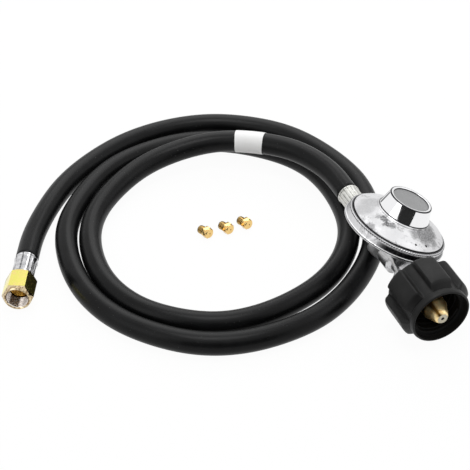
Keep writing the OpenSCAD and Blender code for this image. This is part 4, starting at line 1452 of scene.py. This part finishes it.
@dataclass
class Regulator:
    """Bonnet with its spring tower, toothed crimp ring and tower cap."""

    columns: int = 192
    teeth: int = 120
    tooth_foot: float = 34.5
    tooth_dip: float = 0.989
    tooth_rise: float = 1.004
    breathers: tuple[float, ...] = (-4.0, 5.0)
    breather_y: float = -29.2
    breather_radius: float = 0.8

    def bonnet(self) -> None:
        """Turns the bonnet as a hollow shell and drills its breather holes."""
        rim = [(30.0, 14.5), (34.3, 14.5), (34.3, 17.0), (33.4, 17.0), (33.4, 19.25), (33.25, 19.5)]
        dome = eased([
            (33.25, 19.5), (32.9, 19.68), (31.6, 20.3), (29.2, 21.6), (25.2, 23.5), (21.4, 25.5),
            (19.6, 26.3), (19.5, 27.0), (18.7, 27.5), (18.3, 28.2),
        ], rounds=2)
        tower = eased([
            (18.3, 28.2), (15.55, 38.0), (15.4, 38.45), (14.9, 38.65), (13.6, 38.65), (13.1, 38.2),
            (13.15, 37.85), (13.5, 37.65),
        ], rounds=1, hard=(1,))
        inside = [
            (14.2, 37.65), (14.2, 36.4), (12.36, 36.4), (12.36, 24.1), (18.5, 23.6), (24.0, 21.6),
            (28.2, 19.8), (31.0, 17.8), (31.0, 17.0), (30.0, 16.5),
        ]
        piece = Bench("bonnet_casting").turn(rim + dome[1:] + tower[1:] + inside, self.columns).leave()
        hole = [(0.0, 17.2), (self.breather_radius, 17.2), (self.breather_radius, 28.0), (0.0, 28.0)]
        for x in self.breathers:
            drill = Bench("drill").turn(hole, 20, closed=False).leave()
            drill.location = (x, self.breather_y, 0)
            Shop.apply(piece, "BOOLEAN", operation="DIFFERENCE", solver="EXACT", object=drill)
            bpy.data.objects.remove(drill)
        Shop.settle(piece, Site.REGULATOR.value, Finishes.CAST_ZINC.material(), smooth=28)
        Shop.enter(piece, "bonnet", "cast_zinc")

    def in_column(self, co: Vector, place: int) -> bool:
        """Whether a point lies on the ring's outside, in this one of a tooth's three columns."""
        radius, angle = polar(co)
        return radius > self.tooth_foot and round(angle % 360 / (120 / self.teeth)) % 3 == place

    def ring(self) -> None:
        """Turns the crimp ring and presses its teeth."""
        profile = [
            (33.75, 17.03), (35.7, 17.03), (35.7, 17.35), (35.35, 17.8), (34.7, 18.2), (34.0, 18.4),
            (33.75, 18.15),
        ]
        bench = Bench("crimp_band").turn(profile, self.teeth * 3)
        for place, factor in enumerate((self.tooth_dip, self.tooth_rise)):
            bench.pick(lambda co: self.in_column(co, place))
            bench.swell(factor)
        piece = bench.leave()
        Shop.settle(piece, Site.REGULATOR.value, Finishes.RIM_STEEL.material(), smooth=20)
        Shop.enter(piece, "crimp_ring", "plated_steel")

    def cap(self) -> None:
        """Turns the tower's cap, slightly dished with a rolled edge."""
        profile = [
            (0.0, 36.44), (14.1, 36.44), (14.16, 36.6), (14.16, 37.5), (14.05, 37.58), (12.6, 37.6),
            (11.8, 37.52), (6.0, 37.46), (0.0, 37.44),
        ]
        piece = Bench("spring_tower_cap").turn(profile, 128, closed=False).leave()
        Shop.settle(piece, Site.REGULATOR.value, Finishes.GREY_CAP.material(), smooth=30)
        Shop.enter(piece, "tower_cap", "cap_grey")


# ---- Ferrules, flare nut and jets ----


@dataclass
class Ferrule:
    """A ferrule crimped onto the hose, closed at its back."""

    name: str
    node: str
    site: Site
    back: float
    finish: Finishes
    slot: str
    ridges: int
    pinch: float
    depth: float = 20.0
    wall: float = 1.6
    outer: float = 7.8
    lip: float = 8.2
    hole: float = 4.05
    mouth: float = 6.55
    columns: int = 192
    # Distance of each row from the back, and the share of the crimp's depth there.
    rows: tuple[Point, ...] = (
        (1.5, 0.0), (2.5, 0.5), (3.2, 1.0), (7.0, 1.0), (11.5, 1.0), (15.2, 1.0), (16.2, 0.5), (17.2, 0.0),
    )
    # Where each facet of a crimp starts and ends, in pitches off a ridge, and its share of the depth.
    facets: tuple[Spot, ...] = ((0.10, 0.16, 0.45), (0.16, 0.26, 0.85), (0.26, 0.501, 1.0))

    def in_facet(self, co: Vector, row: float, low: float, high: float) -> bool:
        """Whether a point lies on the outside, in one row and one facet of a crimp.

        Args:
            co: The point.
            row: Distance of the row from the back.
            low: Where the facet starts, in pitches off a ridge.
            high: Where it ends.

        Returns:
            Whether the point lies there.
        """
        radius, angle = polar(co)
        off = in_lobe(angle, 0.0, self.ridges) * self.ridges / 360
        return abs(co.z - self.back - row) < 0.02 and radius > self.outer - 0.2 and low <= off < high

    def build(self) -> Piece:
        """Turns the ferrule and presses its crimps.

        Returns:
            The ferrule.
        """
        back, end = self.back, self.back + self.depth
        profile = [(self.hole, back), (7.1, back), (7.65, back + 0.25), (self.outer, back + 0.8)]
        profile += [(self.outer, back + row) for row, _ in self.rows]
        profile += [
            (self.outer, end - 2.0), (self.lip, end - 1.6), (self.lip, end - 0.5),
            (self.lip - 0.3, end - 0.1), (self.lip - 0.7, end), (self.mouth + 0.25, end),
            (self.mouth, end - 0.3),
            (self.mouth, back + self.wall), (self.hole, back + self.wall),
        ]
        bench = Bench(self.name).turn(profile, self.columns)
        for row, share in self.rows:
            for low, high, amount in self.facets if share else ():
                bench.pick(lambda co: self.in_facet(co, row, low, high))
                bench.swell(1.0 - self.pinch * share * amount)
        piece = bench.leave()
        Shop.settle(piece, self.site.value, self.finish.material(), smooth=24)
        Shop.enter(piece, self.node, self.slot)
        return piece


@dataclass
class FlareNut:
    """The hexagonal brass nut with its fine inside thread."""

    mouth: float = -42.0
    bore: float = 7.3

    def build(self) -> Piece:
        """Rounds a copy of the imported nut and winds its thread.

        Returns:
            The nut.
        """
        piece = Shop.stock("flare_nut", "hex_flare_nut", Site.FLARE.value)
        Shop.rounded(piece, 0.22)
        thread = Thread(
            self.bore + 0.04, height=0.5, pitch=1.411, start=self.mouth + 1.3, end=self.mouth + 10.6,
            base=1.2, inside=True, steps=64,
        )
        Shop.join(piece, thread.build("flare_thread"))
        Shop.settle(piece, Site.FLARE.value, Finishes.NUT_BRASS.material(), smooth=28)
        Shop.enter(piece, "flare_nut", "yellow_brass", body="flare_nut")
        return piece


@dataclass
class Jets:
    """The three spare orifice jets."""

    places: tuple[Point, ...] = ((-68.0, 78.5), (-52.5, 77.0), (-38.0, 77.0))
    heading: float = -67.0
    flats: float = 7.5
    thread: float = 5.8
    thread_length: float = 5.5

    def build(self) -> None:
        """Rounds a copy of each packed jet, winds its thread and lays it on the floor."""
        tilt = math.degrees(math.atan((self.flats - self.thread) / 2 / self.thread_length))
        ridge = Thread(
            self.thread / 2 - 0.05, height=0.3, pitch=0.8, start=-5.1, end=-1.35,
            base=0.55, inside=False, steps=32,
        )
        for number, (x, y) in enumerate(self.places, 1):
            site = (
                Matrix.Scale(MM, 4) @ Matrix.Translation((x, y, 0)) @ turn_about(self.heading, "Z")
                @ Matrix.Translation((0, 0, self.flats / 2 * math.cos(math.radians(tilt))))
                @ turn_about(90 - tilt, "Y")
            )
            piece = Shop.stock(f"orifice_jet_{number}", f"spare_jet_{number}", site)
            Shop.rounded(piece, 0.14)
            Shop.join(piece, ridge.build("jet_thread"))
            # Each jet's thread roots get painted shade.
            brass = Metal(
                f"jet_brass_{number}", (0.86, 0.60, 0.24), (0.72, 0.42, 0.14), gloss=(0.1, 0.24),
                patch=2.0, patch_edges=(0.5, 0.75), grain=0.4, relief=0.012, turned=site,
                dark=(0.07, 0.05, 0.015), root=(self.thread / 2 + 0.06, -0.4),
            )
            Shop.settle(piece, site, brass.build(), smooth=28)
            Shop.enter(piece, f"orifice_jet_{number}", "yellow_brass")


# ---- Inside pieces ----


@dataclass
class Spring:
    """A spring of round wire with closed ends, wound round z."""

    name: str
    node: str
    bodies: tuple[str, str]
    mean: float
    wire: float
    low: float
    high: float
    turns: int = 5
    site: Site = Site.REGULATOR
    steps_per_turn: int = 28
    sides: int = 12

    def build(self) -> None:
        """Winds the wire between the spring's two bodies."""
        steps, sides = self.turns * self.steps_per_turn, self.sides
        share = np.arange(steps + 1) / steps
        angle = math.tau * self.turns * share
        rise = self.high - self.low - self.wire
        radius, foot = self.mean / 2, self.low + self.wire / 2
        line = np.stack([radius * np.cos(angle), radius * np.sin(angle), foot + rise * share], axis=1)
        out = unit(line * [1, 1, 0])
        side = np.cross(unit(np.gradient(line, axis=0)), out)
        points = line[:, None] + rings(out, side, sides) * self.wire / 2
        faces = []
        for i in range(steps):
            for k in range(sides):
                m = (k + 1) % sides
                faces.append((i * sides + k, (i + 1) * sides + k, (i + 1) * sides + m, i * sides + m))
        faces += [tuple(range(sides)), tuple(steps * sides + k for k in reversed(range(sides)))]
        piece = Shop.form(self.name, points.reshape(-1, 3), faces)
        Shop.settle(piece, self.site.value, Finishes.SPRING_STEEL.material(), smooth=40)
        Shop.flex(piece, self.bodies, self.site.value, (self.low + self.wire, self.high - self.wire))
        Shop.enter(piece, self.node, "spring_steel", body=None)


SPRINGS = (
    Spring("loading_spring", "main_spring", ("diaphragm_plate", "regulator"), 20.0, 1.8, 15.75, 27.55),
    Spring("relief_coil", "relief_spring", ("diaphragm_plate", "relief_stem"), 5.6, 0.8, 15.75, 23.05),
    Spring(
        "check_spring", "excess_flow_spring", ("regulator", "excess_flow_poppet"), 4.6, 0.7, 62.45, 69.75,
        site=Site.INLET,
    ),
)


@dataclass
class Diaphragm:
    """The rubber diaphragm with its one fold."""

    hole: float = 1.95
    rim: float = 34.15
    under: float = 13.52
    top: float = 14.42
    fold: float = 23.4
    fold_reach: float = 2.7

    def arc(self, radius: float, base: float, cut: float) -> list[Point]:
        """The fold's arch from its outer foot to its inner one.

        Args:
            radius: The arch's radius.
            base: Height of its middle.
            cut: Angle that is left out at each foot, in radians.

        Returns:
            The arch's points.
        """
        angles = np.linspace(cut, math.pi - cut, 13)
        return [(self.fold + radius * math.cos(a), base + radius * math.sin(a)) for a in angles]

    def build(self) -> None:
        """Turns the sheet, which follows the plate in its middle and the castings at its rim."""
        upper = self.arc(2.55, 13.55, 0.36)[::-1]
        lower = self.arc(1.65, self.under, 0.12)
        profile = [(self.hole, self.top), (self.fold - 2.6, self.top), *upper, (self.rim, self.top)]
        profile += [(self.rim, self.under), (self.fold + 1.75, self.under), *lower]
        profile += [(self.fold - 1.75, self.under), (self.hole, self.under)]
        piece = Bench("folded_diaphragm").turn(profile, 96).leave()
        site, reach = Site.REGULATOR.value, (self.fold - self.fold_reach, self.fold + self.fold_reach)
        Shop.settle(piece, site, Finishes.DIAPHRAGM_RUBBER.material(), smooth=35)
        Shop.flex(piece, ("diaphragm_plate", "regulator"), site, reach, radial=True)
        Shop.enter(piece, "diaphragm", "diaphragm_rubber", body=None)


NODE_FINISHES: dict[str, Finishes] = {
    "thermal_bushing": Finishes.BUSHING_PLASTIC,
    "excess_flow_poppet": Finishes.PALE_BRASS,
    "regulator_body": Finishes.BODY_ZINC,
    "adjusting_screw": Finishes.PLATED_STEEL,
    "diaphragm_plate": Finishes.PLATED_STEEL,
    "relief_stem": Finishes.PALE_BRASS,
    "relief_nut": Finishes.PLATED_STEEL,
    "lever": Finishes.PLATED_STEEL,
    "lever_pin": Finishes.SPRING_STEEL,
    "valve_seat": Finishes.PALE_BRASS,
    "valve_holder": Finishes.PALE_BRASS,
    "valve_disc": Finishes.DIAPHRAGM_RUBBER,
    "outlet_nipple": Finishes.PALE_BRASS,
    "flare_stem": Finishes.FLARE_SEAT,
}


def dress_nodes() -> None:
    """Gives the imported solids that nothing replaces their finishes."""
    for node, finish in NODE_FINISHES.items():
        solid = frame["nodes"][node]
        solid.data.materials.clear()
        solid.data.materials.append(finish.material())
        log.info("%s: dressed", node)


# ---- Studio ----


WHITE = (1.0, 1.0, 1.0, 1.0)


@dataclass
class Studio:
    """Camera, pale floor, soft lamps and the cards that shape the metal."""

    eye: Spot = (-0.3524, -0.6599, 0.676)
    aim: Spot = (-0.0482, 0.0708, 0.0)
    lens: float = 110.6
    sensor: float = 36.0
    lamp_aim: Spot = (-0.03, 0.05, 0.0)
    ambient: float = 0.4
    floor_size: float = 12.0
    floor_level: float = -0.0003
    floor_grey: float = 0.6
    floor_glow: float = 1.04
    floor_share: float = 0.92

    def camera(self) -> None:
        """Sets up the camera."""
        data = bpy.data.cameras.new("camera")
        data.lens = self.lens
        data.sensor_width = self.sensor
        data.clip_start = 0.02
        camera = bpy.data.objects.new("camera", data)
        camera.location = self.eye
        camera.rotation_euler = (Vector(self.aim) - Vector(self.eye)).to_track_quat("-Z", "Y").to_euler()
        bpy.context.scene.collection.objects.link(camera)
        bpy.context.scene.camera = camera
        bpy.context.view_layer.update()

    def seen(self, tree: bpy.types.NodeTree) -> Socket:
        """Light path that is one for camera, glossy and transmission rays.

        Args:
            tree: Node tree to add it to.

        Returns:
            The socket that holds it.
        """
        path = tree.nodes.new("ShaderNodeLightPath")
        seen = path.outputs["Is Camera Ray"]
        for ray in ("Is Glossy Ray", "Is Transmission Ray"):
            either = tree.nodes.new("ShaderNodeMath")
            either.operation = "MAXIMUM"
            tree.links.new(seen, either.inputs[0])
            tree.links.new(path.outputs[ray], either.inputs[1])
            seen = either.outputs[0]
        return seen

    def mix(self, tree: bpy.types.NodeTree, sources: Sequence[Socket], target: Socket) -> None:
        """Mixes two shaders into an output.

        Args:
            tree: Node tree to work in.
            sources: The share of the second shader, the first shader and the second one.
            target: The output's input.
        """
        mix = tree.nodes.new("ShaderNodeMixShader")
        for source, end in zip(sources, mix.inputs):
            tree.links.new(source, end)
        tree.links.new(mix.outputs[0], target)

    def floor(self) -> None:
        """Lays the floor, white where the camera and metal see it, with the object's shadow."""
        deselect()
        bpy.ops.mesh.primitive_plane_add(size=self.floor_size, location=(0, 0, self.floor_level))
        floor = bpy.context.object
        floor.name = "studio_floor"
        sheet = NodeSheet("studio_floor")
        sheet.tree.nodes.remove(sheet.shader)
        matte = sheet.add("ShaderNodeBsdfDiffuse", Color=(*grey(self.floor_grey), 1.0))
        glow = sheet.add("ShaderNodeEmission", Color=WHITE, Strength=self.floor_glow)
        share = sheet.times(self.seen(sheet.tree), self.floor_share)
        surface = sheet.tree.nodes["Material Output"].inputs["Surface"]
        self.mix(sheet.tree, (share, matte.outputs[0], glow.outputs[0]), surface)
        floor.data.materials.append(sheet.material)

    def sky(self) -> None:
        """Sets the room's even light, seen as white."""
        world = bpy.data.worlds.new("studio")
        bpy.context.scene.world = world
        world.use_nodes = True
        tree = world.node_tree
        shade, bright = tree.nodes["Background"], tree.nodes.new("ShaderNodeBackground")
        for source, strength in ((shade, self.ambient), (bright, 1.0)):
            source.inputs["Color"].default_value = WHITE
            source.inputs["Strength"].default_value = strength
        surface = tree.nodes["World Output"].inputs["Surface"]
        self.mix(tree, (self.seen(tree), shade.outputs[0], bright.outputs[0]), surface)

    def lamp(self, name: str, place: Spot, size: float, power: float) -> None:
        """Hangs a soft square lamp that faces the object.

        Args:
            name: The lamp's name.
            place: Its place in metres.
            size: Its side in metres.
            power: Its power in watts.
        """
        data = bpy.data.lights.new(name, "AREA")
        data.shape = "SQUARE"
        data.size = size
        data.energy = power
        lamp = bpy.data.objects.new(name, data)
        lamp.location = place
        lamp.rotation_euler = (Vector(self.lamp_aim) - Vector(place)).to_track_quat("-Z", "Y").to_euler()
        bpy.context.scene.collection.objects.link(lamp)

    def card(self, name: str, place: Spot, size: Point, facing: Spot, tone: float) -> None:
        """Stands a card that only reflections show.

        Args:
            name: The card's name.
            place: Its middle in metres.
            size: Its width and height in metres.
            facing: Point that it faces.
            tone: How bright it is, from 0 for a black card to 1 for a white one.
        """
        deselect()
        bpy.ops.mesh.primitive_plane_add(size=1.0, location=(0, 0, 0))
        card = bpy.context.object
        card.name = name
        card.scale = (*size, 1.0)
        card.location = place
        card.rotation_euler = (Vector(facing) - Vector(place)).to_track_quat("Z", "Y").to_euler()
        bpy.ops.object.transform_apply(location=True, rotation=True, scale=True)
        sheet = NodeSheet(name)
        look = {
            "Base Color": (*grey(0.01), 1.0), "Roughness": 0.9,
            "Emission Color": WHITE, "Emission Strength": tone,
        }
        for key, value in look.items():
            sheet.shader.inputs[key].default_value = value
        card.data.materials.append(sheet.material)
        card.visible_camera = card.visible_diffuse = card.visible_shadow = False

    def light(self) -> None:
        """Hangs the lamps and stands the cards that shape the metal."""
        self.lamp("soft_top", (-0.1, 0.05, 1.3), size=0.5, power=4.5)
        self.lamp("soft_back", (0.3, 0.85, 0.85), size=0.9, power=5.2)
        self.lamp("soft_left", (-1.1, -0.3, 0.8), size=0.8, power=1.8)
        self.lamp("soft_right", (0.9, -0.3, 0.8), size=0.7, power=1.2)
        for name, place, size, facing, tone in (
            ("dark_card_front", (-0.178, -0.468, 0.235), (0.78, 0.42), (0.045, -0.01, 0.05), 0.0),
            ("dark_card_flare", (-0.1857, 0.0672, 0.0115), (0.025, 0.024), (-0.2035, 0.0595, 0.016), 0.0),
            ("pale_card_flare", (-0.187, 0.16, 0.092), (0.09, 0.09), (-0.205, 0.072, 0.012), 0.95),
            ("pale_card_dome", (0.075, 0.115, 0.15), (0.13, 0.11), (0.0, 0.0, 0.045), 0.95),
        ):
            self.card(name, place, size, facing, tone)


def main() -> None:
    """Builds the studio, the hose and the pieces in order."""
    logging.basicConfig(level=logging.INFO, format="%(name)s: %(message)s")
    bpy.context.scene.view_settings.view_transform = "Standard"
    studio = Studio()
    studio.camera()
    hose = Hose()
    tube, line = hose.build()
    label = Label().build(line)
    CouplingNut().build()
    inlet = Inlet()
    inlet.nipple()
    inlet.insert()
    regulator = Regulator()
    regulator.bonnet()
    regulator.ring()
    regulator.cap()
    Ferrule(
        "outlet_ferrule", "regulator_ferrule", Site.OUTLET, 40.0, Finishes.SATIN_FERRULE, "satin_ferrule",
        ridges=18, pinch=0.02,
    ).build()
    end_ferrule = Ferrule(
        "end_ferrule", "flare_ferrule", Site.FLARE, -20.0, Finishes.BRIGHT_FERRULE, "plated_steel",
        ridges=9, pinch=0.05,
    ).build()
    nut = FlareNut().build()
    Jets().build()
    for spring in SPRINGS:
        spring.build()
    Diaphragm().build()
    dress_nodes()
    studio.floor()
    studio.sky()
    studio.light()


if __name__ == "__main__":
    main()
